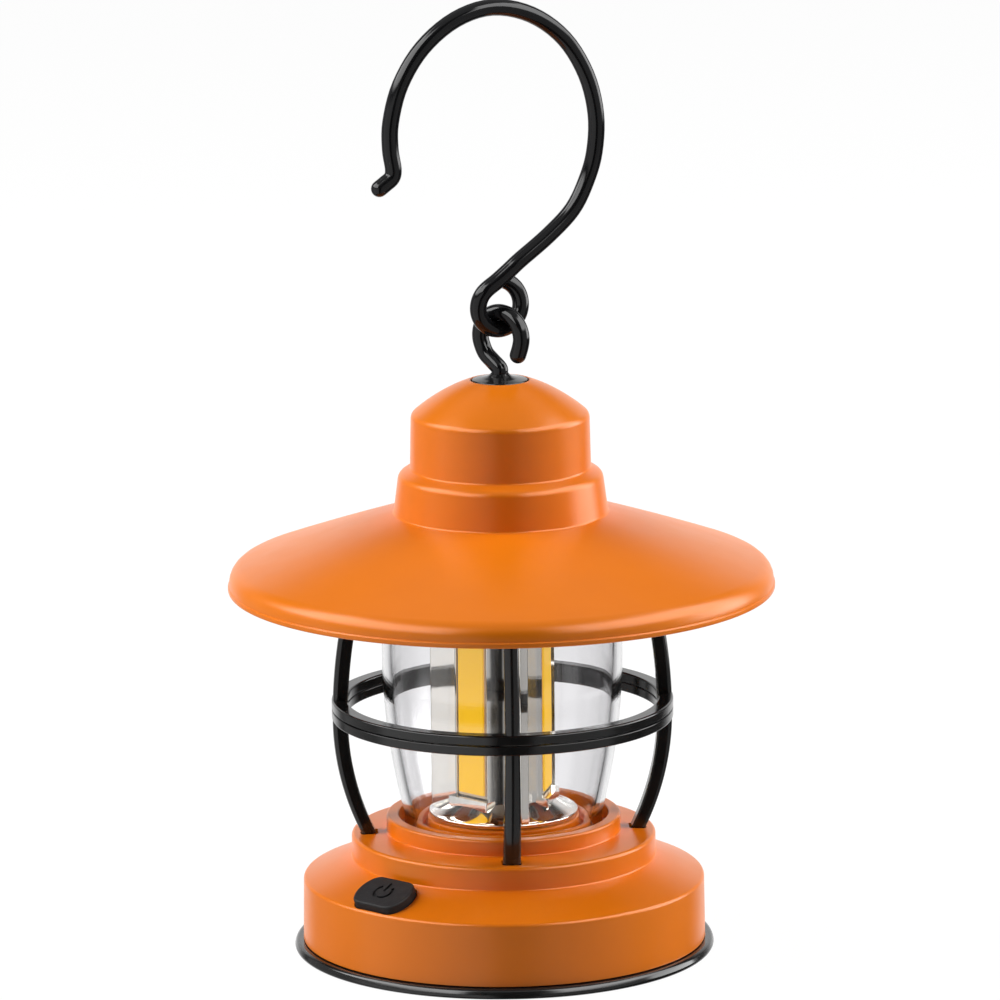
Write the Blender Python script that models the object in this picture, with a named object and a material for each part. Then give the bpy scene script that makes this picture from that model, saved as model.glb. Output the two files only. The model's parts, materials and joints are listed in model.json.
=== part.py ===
"""Retro camping lantern: a wide-brimmed shade on a caged glass globe, a round battery base
and a swivelling wire hanging hook.

Sizes are in millimetres and the model is in metres. +Z is up, the origin is the middle of the
foot, and the front is -Y. Bearings are in degrees, 0 at the front and positive towards +X.
"""

import math

import bmesh
import bpy
from mathutils import Matrix, Vector

MM = 0.001
TURN_SEGMENTS = 32      # sides of a large turned piece
ROUND_SEGMENTS = 20     # sides of a washer, cap or flange
SMALL_SEGMENTS = 12     # sides of a screw or its bore
PIN_SEGMENTS = 8        # sides of a pin, a lead's hole or a small bore

# Clearances
FIT = 0.3               # between two pieces that seat on each other
RUNNING = 0.1           # between the swivel's shank and its bores
LINK_GAP = 0.3          # between the two wire eyes where they hang together
OVERRUN = 1.0           # how far a cutter runs past the face that it cuts
LONG_OVERRUN = 5.0      # the same, where a cutter opens a whole hollow

# Base
BASE_RADIUS = 48.2
BASE_WALL = 2.0
BASE_SIDE_HEIGHT = 17.6
BASE_SLOPE_RISE = 5.1
SHELF_RADIUS = 36.4
SHELF_RISE = 5.6
SHELF_CROWN = 0.5       # how much the shelf climbs towards the collar
EDGE_ROUND = 0.9
COLLAR_RADIUS = 28.0
COLLAR_RISE = 4.0
GROOVE_DEPTH = 3.6
HUB_RISE = 3.8          # hub above the groove's floor
RING_WIDTH = 1.4
RING_RISE = 3.0
RING_GAP = 1.2          # between the hub and the ring round it
RING_STEP = 1.2         # floor between ring and hub, above the groove's floor
GROOVE_ROOM = 1.4       # globe's seat to the groove's outer wall
RING_ROOM = 0.6         # globe's inner face to the ring
COLLAR_CHAMFER = 0.5

# Foot and battery cover
FOOT_BEAD = 2.4         # height of the beaded rim
BEAD_OVERHANG = 2.1
COVER_THICKNESS = 2.4
COVER_RECESS = 0.6      # cover plate above the table
FOOT_WIDTH = 6.3        # of the rim that stands on the table
LIP_WALL = 1.4
LIP_RISE = 3.2
PEDESTAL_HALF = 3.0     # half the width of the block that backs the switch

# Cells, tray and door
CELL_DIAMETER = 14.5
CELL_LENGTH = 50.5
CELL_PITCH = 14.7
CELL_NUB = (2.75, 1.0)  # radius, length
CELL_EDGE = 0.4
CELL_ROW_Y = 3.0        # the row sits behind the middle, clear of the switch
CONTACT_ROOM = 5.5      # left at the spring end of each cell
CONTACT_THICKNESS = 0.4
CONTACT_INSET = 2.0     # contact's edge inside the cell's outline
TERMINAL_HALF = 2.0     # half the width of a contact's soldering tab
TERMINAL_RISE = 1.6     # tab above the tray
TRAY_WALL = 1.5
TRAY_TOP = 1.0
TRAY_CHAMFER = 2.0      # inside corners
SPRING_WIRE = 0.7
SPRING_RADIUS = 3.0
SPRING_TURNS = 3
DOOR_PIN_RADIUS = 0.5
DOOR_PIN_LENGTH = 1.4
DOOR_INSET = 0.5        # bay's opening inside the tray's ends
DOOR_ROOM = 0.2         # bay's opening beyond the tray's sides
DOOR_TONGUE = (5.0, 0.9, 2.4)   # half width, thickness, rise above the plate
DOOR_NOTCH = (5.0, 2.5, 1.0)    # half width, reach, depth

# Screws
SCREW_RADIUS = 1.1
SCREW_HEAD_RADIUS = 2.4
SCREW_HEAD_HEIGHT = 1.3
SCREW_LENGTH = 9.5
BOSS_RADIUS = 3.2
BOSS_INSET = 3.5        # between a cover boss and the base's wall
HEAD_RECESS = 0.2       # cover screw's head above the plate's underside
BOARD_SCREW_RADIUS = 0.8
BOARD_SCREW_HEAD = (1.6, 1.0)
BOARD_SCREW_LENGTH = 3.4
BOARD_SCREW_X = 7.0

# Driver board
BOARD_HALF = 11.0
BOARD_THICKNESS = 1.2
CHIP = (6.0, 5.0, 1.5)
CHIP_PLACE = (-5.0, 5.0)        # from the board's middle
CHIP_GAP = 0.2

# Power button
BUTTON_BEARING = -41.5
BUTTON_DIAMETER = 15.0
BUTTON_DEPTH = 10.5     # across its two flats
BUTTON_PROUD = 1.8
BUTTON_TRAVEL = 1.0
BUTTON_TAB = (0.9, 3.0)  # how far the two retaining tabs reach past the cap, and half their width
BUTTON_TAB_THICKNESS = 1.0
BUTTON_STEM = (1.5, 2.0)        # radius, length below the tabs
SWITCH_SIZE = 6.0
SWITCH_HEIGHT = 3.5
PLUNGER_RADIUS = 1.3
PLUNGER_DEPTH = 1.2             # of the plunger's foot inside the switch
SWITCH_BOARD = (10.4, 9.0, 1.2)

# Light
LIGHT_HEIGHT = 62.7     # shelf to ceiling plate
GLOBE_RADIUS = 28.7
GLOBE_SEAT_RADIUS = 23.7
GLOBE_WALL = 2.3
GLOBE_SEAT_HEIGHT = 2.6
GLOBE_TAPER_HEIGHT = 39.5
GASKET_LOWER = 0.6
GASKET_UPPER = 1.4
REFLECTOR_RADIUS = 17.8
REFLECTOR_BEARING = 16.6
WING_RADIUS = 17.6
WING_EDGE = 2.0
WING_ROOT = (11.3, 1.5)         # out from the axis, and half the thickness there
FACET_SAG = 0.35        # hollow between a wing's root and a trough's lip
TROUGH_DEPTH = 9.4      # axis to trough floor
TROUGH_WIDTH = 9.6
TROUGH_LIP = (1.8, 0.15)        # height of the lip beside a trough, and its draft
DISH_RISE = 4.2
DISH_RIM = 1.0
DISH_MIDDLE_RADIUS = 14.0
CLIP_BAR = (12.5, 2.3, 3.0)     # width, height, and how far it stands out of the trough
LED_BOARD = (9.0, 0.8)          # width, thickness
LED_PHOSPHOR = (8.2, 0.5)
CAP_THICKNESS = 3.0
CAP_RECESS = 1.9
CAP_SLEEVE = 1.0                # wall round the tie rod
CAP_RECESS_OVER = 3.6           # recess beyond the troughs' floors
ROD_RADIUS = 1.5
ROD_HEAD = (2.8, 2.4)   # radius, height
ROD_NUT = (3.2, 2.4)    # corner radius, thickness
ROD_ABOVE = 4.5         # rod above the ceiling plate
LEAD_DIAMETER = 1.2
LEAD_OFFSET = 4.1

# Cage
CAGE_BEARING = 3.3
CAGE_GAP = 12.0         # globe to the ribs' furthest reach
RIB_FOOT_RADIUS = 34.1
RIB_DEPTH = 3.7
RIB_WIDTH = 3.5
RIB_FOOT_WIDTH = 4.3
RIB_BELLY_RISE = 28.2   # shelf to the ribs' widest point
RIB_TOP_DRAW = 4.0      # how far the ribs draw in again at the cage's top ring
BELT_RISE = 28.2        # shelf to the belt's lower edge
BELT_HALF = 2.25
BELT_DEPTH = 3.6
BELT_PROUD = 0.1        # belt beyond the ribs' widest point
CAGE_RING_THICKNESS = 2.7
CAGE_RING_GAP = 1.8     # globe to the cage's top ring
RIB_TAB_DEPTH = 1.2     # rib's tab below the shelf's wall
BELT_EDGE = 0.4
BELT_PIN = (0.7, 1.0)   # radius, and how deep it goes into each half

# Shade
BRIM_RADIUS = 65.1
BRIM_DROP = 2.8         # brim's edge below the ceiling plate
BRIM_LIP = 4.8
BRIM_RISE = 17.9        # edge of the brim to the foot of the step
BRIM_CROWN = 0.3
LIP_WIDTH = 2.4         # thickness of the brim's rolled lip
SHADE_WALL = 2.0
STEP_RADIUS = 25.5
STEP_TAPER = 1.2
STEP_HEIGHT = 9.0
NECK_RADIUS = 21.5
NECK_TAPER = 0.3
SHOULDER_RISE = 2.2
NECK_HEIGHT = 12.8
DOME_RISE = 8.3
DOME_BULGE = 1.1
CEILING_THICKNESS = 1.6
CEILING_OVER = 0.6      # ceiling plate beyond the ribs' widest point
CEILING_RIM_WALL = 1.4
CEILING_RIM_GAP = 1.5   # upturned rim to the underside of the brim

# Swivel and hook
WIRE_DIAMETER = 4.0
FLANGE_RADIUS = 6.6
FLANGE_EDGE = 1.2
FLANGE_RISE = 1.4
FLANGE_CONE = 3.0
EYE_SLACK = 1.9         # round the hook's wire, inside the swivel's eye
EYE_NECK = 4.3          # dome to the lowest point of the eye's centre line
EYE_SHIFT = 0.4         # middle of the eye from the shank's line
EYE_TURN = -35.0        # bearing of the eye's plane from the front plane
HOOK_EYE_SLACK = 1.8    # round the swivel's wire, inside the hook's eye
HOOK_TURN = 20.0
EYE_PITCH_GAP = 0.4
SHANK_BELOW = 9.0       # shank below the dome's inner face
WASHER = (5.0, 1.0)     # radius, thickness
NUT = (4.0, 3.2)        # corner radius, thickness

# Levels worked out from the sizes above
BASE_FOOT_Z = FOOT_BEAD + FIT
COVER_TOP_Z = COVER_RECESS + COVER_THICKNESS
SLOPE_TOP_Z = BASE_SIDE_HEIGHT + BASE_SLOPE_RISE
SHELF_Z = SLOPE_TOP_Z + SHELF_RISE
COLLAR_TOP_Z = SHELF_Z + SHELF_CROWN + COLLAR_RISE
GROOVE_Z = COLLAR_TOP_Z - GROOVE_DEPTH
HUB_Z = GROOVE_Z + HUB_RISE
CEILING_Z = SHELF_Z + LIGHT_HEIGHT
CEILING_TOP_Z = CEILING_Z + CEILING_THICKNESS
BRIM_Z = CEILING_Z - BRIM_DROP
STEP_FOOT_Z = BRIM_Z + BRIM_RISE
STEP_TOP_Z = STEP_FOOT_Z + STEP_HEIGHT
NECK_FOOT_Z = STEP_TOP_Z + SHOULDER_RISE
NECK_TOP_Z = NECK_FOOT_Z + NECK_HEIGHT
DOME_TOP_Z = NECK_TOP_Z + DOME_RISE
FLANGE_SEAT_Z = DOME_TOP_Z - FLANGE_EDGE
DOME_INNER_Z = FLANGE_SEAT_Z - SHADE_WALL
COVER_SCREW_CIRCLE = BASE_RADIUS - BASE_WALL - BOSS_INSET - BOSS_RADIUS
CELL_AXIS_Z = COVER_TOP_Z + FIT + CELL_DIAMETER / 2
TRAY_UNDER_Z = CELL_AXIS_Z + CELL_DIAMETER / 2 + FIT
TRAY_TOP_Z = TRAY_UNDER_Z + TRAY_TOP
BAY_HALF_X = (CELL_LENGTH + CONTACT_ROOM + 2 * (CONTACT_THICKNESS + FIT) + FIT) / 2
BAY_HALF_Y = CELL_PITCH + CELL_DIAMETER / 2 + FIT
DOOR_HALF_X = BAY_HALF_X - DOOR_INSET
DOOR_HALF_Y = BAY_HALF_Y + DOOR_ROOM
RIB_BELLY_RADIUS = GLOBE_RADIUS + CAGE_GAP
RIB_BELLY_Z = SHELF_Z + RIB_BELLY_RISE
BELT_Z = SHELF_Z + BELT_RISE
BELT_RADIUS = RIB_BELLY_RADIUS + BELT_PROUD
CEILING_RADIUS = RIB_BELLY_RADIUS + CEILING_OVER
CAGE_RING_TOP_Z = CEILING_Z - FIT
CAGE_RING_Z = CAGE_RING_TOP_Z - CAGE_RING_THICKNESS
REFLECTOR_Z = HUB_Z + FIT
REFLECTOR_TOP_Z = CEILING_Z - FIT - CAP_THICKNESS - FIT
STRIP_Z = REFLECTOR_Z + DISH_RIM + DISH_RISE + FIT
STRIP_TOP_Z = REFLECTOR_TOP_Z - FIT
WIRE_RADIUS = WIRE_DIAMETER / 2
EYE_RADIUS = WIRE_DIAMETER + EYE_SLACK
EYE_Z = DOME_TOP_Z + EYE_NECK + EYE_RADIUS
LINK_Z = EYE_Z + EYE_RADIUS
HOOK_EYE_RADIUS = WIRE_DIAMETER + HOOK_EYE_SLACK
HOOK_EYE_Z = LINK_Z - WIRE_DIAMETER - LINK_GAP + HOOK_EYE_RADIUS

FINISHES = {
    "orange": ((0.80, 0.26, 0.045), 0.45, 0.0),
    "black_gloss": ((0.012, 0.012, 0.013), 0.2, 0.0),
    "rubber": ((0.025, 0.025, 0.027), 0.7, 0.0),
    "glass": ((0.85, 0.88, 0.88), 0.05, 0.0),
    "chrome": ((0.75, 0.74, 0.72), 0.12, 1.0),
    "steel": ((0.55, 0.55, 0.56), 0.35, 1.0),
    "phosphor": ((0.90, 0.62, 0.10), 0.5, 0.0),
    "cream": ((0.85, 0.78, 0.62), 0.5, 0.0),
    "white": ((0.78, 0.77, 0.74), 0.5, 0.0),
    "board": ((0.03, 0.22, 0.10), 0.5, 0.0),
    "cell": ((0.10, 0.12, 0.16), 0.4, 0.2),
    "red": ((0.45, 0.03, 0.02), 0.5, 0.0),
    "black": ((0.03, 0.03, 0.03), 0.5, 0.0),
}


# ---------------------------------------------------------------- helpers

def polar(radius, bearing):
    """Plan position of a point at a radius and a bearing."""
    angle = math.radians(bearing)
    return radius * math.sin(angle), -radius * math.cos(angle)


def finish(name):
    """Plain Principled material of a named finish, made once."""
    found = bpy.data.materials.get(name)
    if found:
        return found
    colour, roughness, metallic = FINISHES[name]
    made = bpy.data.materials.new(name)
    made.use_nodes = True
    shader = made.node_tree.nodes["Principled BSDF"]
    shader.inputs["Base Color"].default_value = (*colour, 1.0)
    shader.inputs["Roughness"].default_value = roughness
    shader.inputs["Metallic"].default_value = metallic
    return made


def add_object(name, bm, finish_name, smooth=True):
    """Turn a bmesh into a named object with its finish."""
    mesh = bpy.data.meshes.new(name)
    bm.to_mesh(mesh)
    bm.free()
    if smooth:
        mesh.shade_smooth()
        mesh.set_sharp_from_angle(angle=math.radians(35))
    mesh.materials.append(finish(finish_name))
    obj = bpy.data.objects.new(name, mesh)
    bpy.context.scene.collection.objects.link(obj)
    return obj


def add_tool(name, bm):
    """A hidden solid that only cuts or joins."""
    mesh = bpy.data.meshes.new(name)
    bm.to_mesh(mesh)
    bm.free()
    obj = bpy.data.objects.new(name, mesh)
    bpy.context.scene.collection.objects.link(obj)
    obj.hide_render = True
    obj.display_type = "WIRE"
    return obj


def combine(obj, tool_bm, operation, label):
    """Cut or join a bmesh solid to an object with an exact Boolean."""
    tool = add_tool(f"{obj.name}_{label}", tool_bm)
    modifier = obj.modifiers.new(label, "BOOLEAN")
    modifier.operation = operation
    modifier.solver = "EXACT"
    modifier.object = tool
    return tool


def cut(obj, tool_bm, label):
    return combine(obj, tool_bm, "DIFFERENCE", label)


def join(obj, tool_bm, label):
    return combine(obj, tool_bm, "UNION", label)


def merged(parts):
    """One bmesh that holds several separate solids."""
    whole = bmesh.new()
    for part in parts:
        mesh = bpy.data.meshes.new("part")
        part.to_mesh(mesh)
        part.free()
        whole.from_mesh(mesh)
        bpy.data.meshes.remove(mesh)
    return whole


def placed(bm, matrix):
    """Move a bmesh that is already in metres."""
    bmesh.ops.transform(bm, matrix=matrix, verts=bm.verts)
    return bm


def shifted(bm, x=0.0, y=0.0, z=0.0):
    return placed(bm, Matrix.Translation((x * MM, y * MM, z * MM)))


def lathe(outline, segments=TURN_SEGMENTS):
    """Solid turned about Z from an outline of (radius, height) points."""
    bm = bmesh.new()
    verts = [bm.verts.new((radius * MM, 0.0, height * MM)) for radius, height in outline]
    edges = []
    for index, (radius, _) in enumerate(outline):
        following = (index + 1) % len(outline)
        if radius > 0 or outline[following][0] > 0:
            edges.append(bm.edges.new((verts[index], verts[following])))
    bmesh.ops.spin(bm, geom=verts + edges, cent=(0, 0, 0), axis=(0, 0, 1),
                   angle=math.tau, steps=segments, use_merge=True)
    bmesh.ops.remove_doubles(bm, verts=bm.verts, dist=0.000001)
    bmesh.ops.recalc_face_normals(bm, faces=bm.faces)
    return bm


def cylinder(radius, low, high, segments=SMALL_SEGMENTS):
    return lathe([(0, low), (radius, low), (radius, high), (0, high)], segments)


def ring(inner, outer, low, high, segments=TURN_SEGMENTS):
    return lathe([(inner, low), (outer, low), (outer, high), (inner, high)], segments)


def loft(rings):
    """Closed solid through rings of points, each ring in metres and in the same order."""
    bm = bmesh.new()
    rows = [[bm.verts.new(point) for point in points] for points in rings]
    count = len(rows[0])
    for lower, upper in zip(rows, rows[1:]):
        for index in range(count):
            following = (index + 1) % count
            bm.faces.new((lower[index], lower[following], upper[following], upper[index]))
    bm.faces.new(list(reversed(rows[0])))
    bm.faces.new(rows[-1])
    bmesh.ops.recalc_face_normals(bm, faces=bm.faces)
    return bm


def prism(outline, low, high):
    """Solid that stands on a plan outline of (x, y) points."""
    levels = []
    for height in (low, high):
        levels.append([Vector((x, y, height)) * MM for x, y in outline])
    return loft(levels)


def box(x_range, y_range, z_range):
    outline = [(x_range[0], y_range[0]), (x_range[1], y_range[0]),
               (x_range[1], y_range[1]), (x_range[0], y_range[1])]
    return prism(outline, *z_range)


def tube(name, points, diameter, finish_name, resolution=2, radii=None, origin=(0, 0, 0)):
    """Round wire along a list of points in millimetres, with closed ends."""
    origin = Vector(origin)
    curve = bpy.data.curves.new(name, "CURVE")
    curve.dimensions = "3D"
    curve.bevel_depth = diameter / 2 * MM
    curve.bevel_resolution = resolution
    curve.use_fill_caps = True
    spline = curve.splines.new("POLY")
    spline.points.add(len(points) - 1)
    for index, (point, position) in enumerate(zip(spline.points, points)):
        point.co = (*((Vector(position) - origin) * MM), 1.0)
        point.radius = radii[index] if radii else 1.0
    curve.materials.append(finish(finish_name))
    obj = bpy.data.objects.new(name, curve)
    obj.location = origin * MM
    bpy.context.scene.collection.objects.link(obj)
    return obj


def smooth_route(knots, steps):
    """Points on a Catmull-Rom curve through the knots."""
    padded = [2 * knots[0] - knots[1], *knots, 2 * knots[-1] - knots[-2]]
    route = []
    for before, start, end, after in zip(padded, padded[1:], padded[2:], padded[3:]):
        for step in range(steps):
            t = step / steps
            point = start * 2 + (end - before) * t
            point += (before * 2 - start * 5 + end * 4 - after) * t ** 2
            point += (start * 3 - before - end * 3 + after) * t ** 3
            route.append(point / 2)
    route.append(knots[-1])
    return route


def rounded_end(route, outward, radius):
    """End points and wire scales that round off the last point of a route."""
    tip = route[-1]
    points = []
    scales = []
    for angle in (30, 60, 80):
        turn = math.radians(angle)
        points.append(tip + outward * radius * math.sin(turn))
        scales.append(math.cos(turn))
    return points, scales


def offset_inward(outline, distance):
    """Open outline moved sideways, to its left, by a distance."""
    moved = []
    for index, point in enumerate(outline):
        here = Vector(point)
        normals = []
        if index > 0:
            normals.append(left_normal(Vector(outline[index - 1]), here))
        if index < len(outline) - 1:
            normals.append(left_normal(here, Vector(outline[index + 1])))
        mean = sum(normals, Vector((0, 0))).normalized()
        moved.append(tuple(here + mean * distance / mean.dot(normals[0])))
    return moved


def left_normal(start, end):
    along = (end - start).normalized()
    return Vector((-along.y, along.x))


def frame_matrix(origin, x_axis, y_axis, z_axis):
    """Placing matrix from an origin in millimetres and three unit axes."""
    matrix = Matrix((x_axis, y_axis, z_axis)).transposed().to_4x4()
    matrix.translation = Vector(origin) * MM
    return matrix


def around(count, bearing, radius, shape):
    """Copies of a solid on a circle, as one bmesh of separate solids."""
    parts = []
    for index in range(count):
        x, y = polar(radius, bearing + 360 / count * index)
        parts.append(shifted(shape(), x, y))
    return merged(parts)


# ---------------------------------------------------------------- base

def slope_frame():
    """Frame on the sloped top of the base, at the button: Z out, Y up the slope."""
    run = BASE_RADIUS - SHELF_RADIUS
    angle = math.atan2(BASE_SLOPE_RISE, run)
    bearing = math.radians(BUTTON_BEARING)
    radial = Vector((math.sin(bearing), -math.cos(bearing), 0))
    tangent = Vector((math.cos(bearing), math.sin(bearing), 0))
    up = Vector((0, 0, 1))
    normal = radial * math.sin(angle) + up * math.cos(angle)
    uphill = up * math.sin(angle) - radial * math.cos(angle)
    middle = radial * (BASE_RADIUS + SHELF_RADIUS) / 2
    middle.z = (BASE_SIDE_HEIGHT + SLOPE_TOP_Z) / 2
    return frame_matrix(middle, tangent, uphill, normal)


def button_outline(grow=0.0):
    """Circle with two opposite flats, in the slope frame."""
    radius = BUTTON_DIAMETER / 2 + grow
    half = BUTTON_DEPTH / 2 + grow
    reach = math.asin(half / radius)
    steps = 6
    outline = []
    for side in (0.0, math.pi):
        for step in range(steps + 1):
            angle = side - reach + 2 * reach * step / steps
            outline.append((radius * math.cos(angle), radius * math.sin(angle)))
    return outline


def base_skin():
    """Outline of the base's outer face, from the foot of its wall up to the collar."""
    crown = SHELF_Z + SHELF_CROWN
    return [
        (BASE_RADIUS, BASE_FOOT_Z),
        (BASE_RADIUS, BASE_SIDE_HEIGHT - EDGE_ROUND),
        (BASE_RADIUS - EDGE_ROUND, BASE_SIDE_HEIGHT + EDGE_ROUND * 0.2),
        (SHELF_RADIUS + EDGE_ROUND * 0.4, SLOPE_TOP_Z - EDGE_ROUND * 0.2),
        (SHELF_RADIUS, SLOPE_TOP_Z + EDGE_ROUND * 0.4),
        (SHELF_RADIUS, SHELF_Z - EDGE_ROUND),
        (SHELF_RADIUS - EDGE_ROUND, SHELF_Z),
        (COLLAR_RADIUS, crown),
    ]


def base_outline():
    """Whole outer outline: skin, collar, globe groove, ring and hub."""
    groove_outer = GLOBE_SEAT_RADIUS + GROOVE_ROOM
    ring_outer = GLOBE_SEAT_RADIUS - GLOBE_WALL - RING_ROOM
    ring_inner = ring_outer - RING_WIDTH
    hub_radius = ring_inner - RING_GAP
    return [(0, BASE_FOOT_Z)] + base_skin() + [
        (COLLAR_RADIUS, COLLAR_TOP_Z - COLLAR_CHAMFER),
        (COLLAR_RADIUS - COLLAR_CHAMFER, COLLAR_TOP_Z),
        (groove_outer, COLLAR_TOP_Z),
        (groove_outer, GROOVE_Z),
        (ring_outer, GROOVE_Z),
        (ring_outer, GROOVE_Z + RING_RISE),
        (ring_inner, GROOVE_Z + RING_RISE),
        (ring_inner, GROOVE_Z + RING_STEP),
        (hub_radius, GROOVE_Z + RING_STEP),
        (hub_radius, HUB_Z),
        (0, HUB_Z),
    ]


def base_cavity():
    """Hollow under the base's skin, with the cover's screw bosses left standing."""
    inner = offset_inward(base_skin()[1:-1], BASE_WALL)
    below = BASE_FOOT_Z - LONG_OVERRUN
    roof = SHELF_Z - BASE_WALL
    outline = [(0, below), (BASE_RADIUS - BASE_WALL, below), *inner[:-1],
               (SHELF_RADIUS - BASE_WALL - 0.5, roof), (0, roof)]
    return lathe(outline)


def make_base_housing():
    housing = add_object("base_housing", lathe(base_outline()), "orange")
    hollow = cut(housing, base_cavity(), "hollow")
    bosses = around(4, 0, COVER_SCREW_CIRCLE,
                    lambda: cylinder(BOSS_RADIUS, COVER_TOP_Z + FIT, SHELF_Z + LONG_OVERRUN))
    cut(hollow, bosses, "bosses")
    pilots = around(4, 0, COVER_SCREW_CIRCLE,
                    lambda: cylinder(SCREW_RADIUS + FIT, 0, COVER_TOP_Z + SCREW_LENGTH))
    cut(housing, pilots, "pilots")
    floor_low = SHELF_Z - 2 * LONG_OVERRUN
    floor_high = HUB_Z + LONG_OVERRUN
    slots = merged(rib_foot_at(index, FIT, floor_low, SHELF_Z + OVERRUN) for index in range(4))
    cut(housing, slots, "slots")
    hole_outline = button_outline(FIT)
    button_hole = prism(hole_outline, -BASE_WALL - 2 * OVERRUN, BUTTON_PROUD + OVERRUN)
    cut(housing, placed(button_hole, slope_frame()), "button_hole")
    holes = [cylinder(ROD_RADIUS + FIT, floor_low, floor_high)]
    for side in (-1, 1):
        hole = cylinder(LEAD_DIAMETER / 2 + FIT, floor_low, floor_high)
        holes.append(shifted(hole, side * LEAD_OFFSET))
    cut(housing, merged(holes), "middle_holes")
    return housing


def make_bottom_cover():
    rim = BASE_RADIUS + BEAD_OVERHANG
    bead = FOOT_BEAD / 2
    lip_outer = BASE_RADIUS - BASE_WALL - FIT
    foot_inner = rim - FOOT_WIDTH
    outline = [(0, COVER_RECESS), (foot_inner - COVER_RECESS, COVER_RECESS), (foot_inner, 0),
               (rim - bead * 0.8, 0)]
    for step in range(1, 6):
        angle = math.radians(-90 + 30 * step)
        outline.append((rim - bead + bead * math.cos(angle), bead + bead * math.sin(angle)))
    outline += [(rim - bead, FOOT_BEAD), (lip_outer, FOOT_BEAD),
                (lip_outer, FOOT_BEAD + LIP_RISE), (lip_outer - LIP_WALL, FOOT_BEAD + LIP_RISE),
                (lip_outer - LIP_WALL, COVER_TOP_Z), (0, COVER_TOP_Z)]
    cover = add_object("bottom_cover", lathe(outline), "black_gloss")
    bay = box((-DOOR_HALF_X, DOOR_HALF_X), (CELL_ROW_Y - DOOR_HALF_Y, CELL_ROW_Y + DOOR_HALF_Y),
              (-OVERRUN, COVER_TOP_Z + OVERRUN))
    cut(cover, bay, "bay")
    hinge_y, hinge_z = door_hinge()
    holes = door_pins(DOOR_HALF_X - OVERRUN, DOOR_HALF_X + DOOR_PIN_LENGTH, FIT)
    cut(cover, shifted(holes, 0, hinge_y, hinge_z), "hinge_holes")
    head_high = COVER_RECESS + HEAD_RECESS + SCREW_HEAD_HEIGHT + FIT
    head_hole = SCREW_HEAD_RADIUS + FIT
    shank_hole = SCREW_RADIUS + FIT
    stepped = [(0, -OVERRUN), (head_hole, -OVERRUN), (head_hole, head_high),
               (shank_hole, head_high), (shank_hole, COVER_TOP_Z + OVERRUN),
               (0, COVER_TOP_Z + OVERRUN)]
    screw_holes = around(4, 0, COVER_SCREW_CIRCLE, lambda: lathe(stepped, SMALL_SEGMENTS))
    cut(cover, screw_holes, "screw_holes")
    join(cover, switch_pedestal(), "pedestal")
    return cover


def switch_pedestal():
    """Block on the cover that backs the switch board, its top parallel to the board."""
    frame = slope_frame()
    top = switch_levels()["board_low"] - FIT
    half = PEDESTAL_HALF
    upper = []
    for x, y in ((-half, -half), (half, -half), (half, half), (-half, half)):
        upper.append(frame @ (Vector((x, y, top)) * MM))
    lower = [Vector((point.x, point.y, (COVER_TOP_Z - OVERRUN) * MM)) for point in upper]
    return loft([lower, upper])


def door_hinge():
    """Y and Z of the battery door's hinge line, at the back of the bay."""
    return CELL_ROW_Y + DOOR_HALF_Y - FIT - COVER_THICKNESS / 2, COVER_RECESS + COVER_THICKNESS / 2


def door_pins(near, far, grow=0.0):
    """The two hinge pins along X, each between two distances from the middle."""
    pins = []
    for turn in (-math.pi / 2, math.pi / 2):
        pin = cylinder(DOOR_PIN_RADIUS + grow, near, far, PIN_SEGMENTS)
        pins.append(placed(pin, Matrix.Rotation(turn, 4, "Y")))
    return merged(pins)


def make_battery_door():
    """Door plate with a round hinge edge, two pins, a latch tongue and a thumb notch."""
    hinge_y, hinge_z = door_hinge()
    half = COVER_THICKNESS / 2
    front = CELL_ROW_Y - DOOR_HALF_Y + FIT - hinge_y
    section = [(front, -half), (front, half)]
    for step in range(7):
        angle = math.radians(90 - 30 * step)
        section.append((half * math.cos(angle), half * math.sin(angle)))
    width = DOOR_HALF_X - FIT
    sides = []
    for x in (-width, width):
        sides.append([Vector((x, y, z)) * MM for y, z in section])
    door = add_object("battery_door", loft(sides), "black_gloss")
    door.location = (0, hinge_y * MM, hinge_z * MM)
    join(door, door_pins(width - OVERRUN, width + DOOR_PIN_LENGTH), "pins").location = door.location
    wide, thick, rise = DOOR_TONGUE
    tongue = box((-wide, wide), (front + FIT, front + FIT + thick), (0, half + rise))
    join(door, tongue, "tongue").location = door.location
    wide, reach, depth = DOOR_NOTCH
    notch = box((-wide, wide), (front - OVERRUN, front + reach),
                (-half - OVERRUN, -half + depth))
    cut(door, notch, "notch").location = door.location
    return door


def bay_outline(half_x, half_y, chamfer):
    return [(-half_x + chamfer, -half_y), (half_x - chamfer, -half_y),
            (half_x, -half_y + chamfer), (half_x, half_y - chamfer),
            (half_x - chamfer, half_y), (-half_x + chamfer, half_y),
            (-half_x, half_y - chamfer), (-half_x, -half_y + chamfer)]


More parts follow.
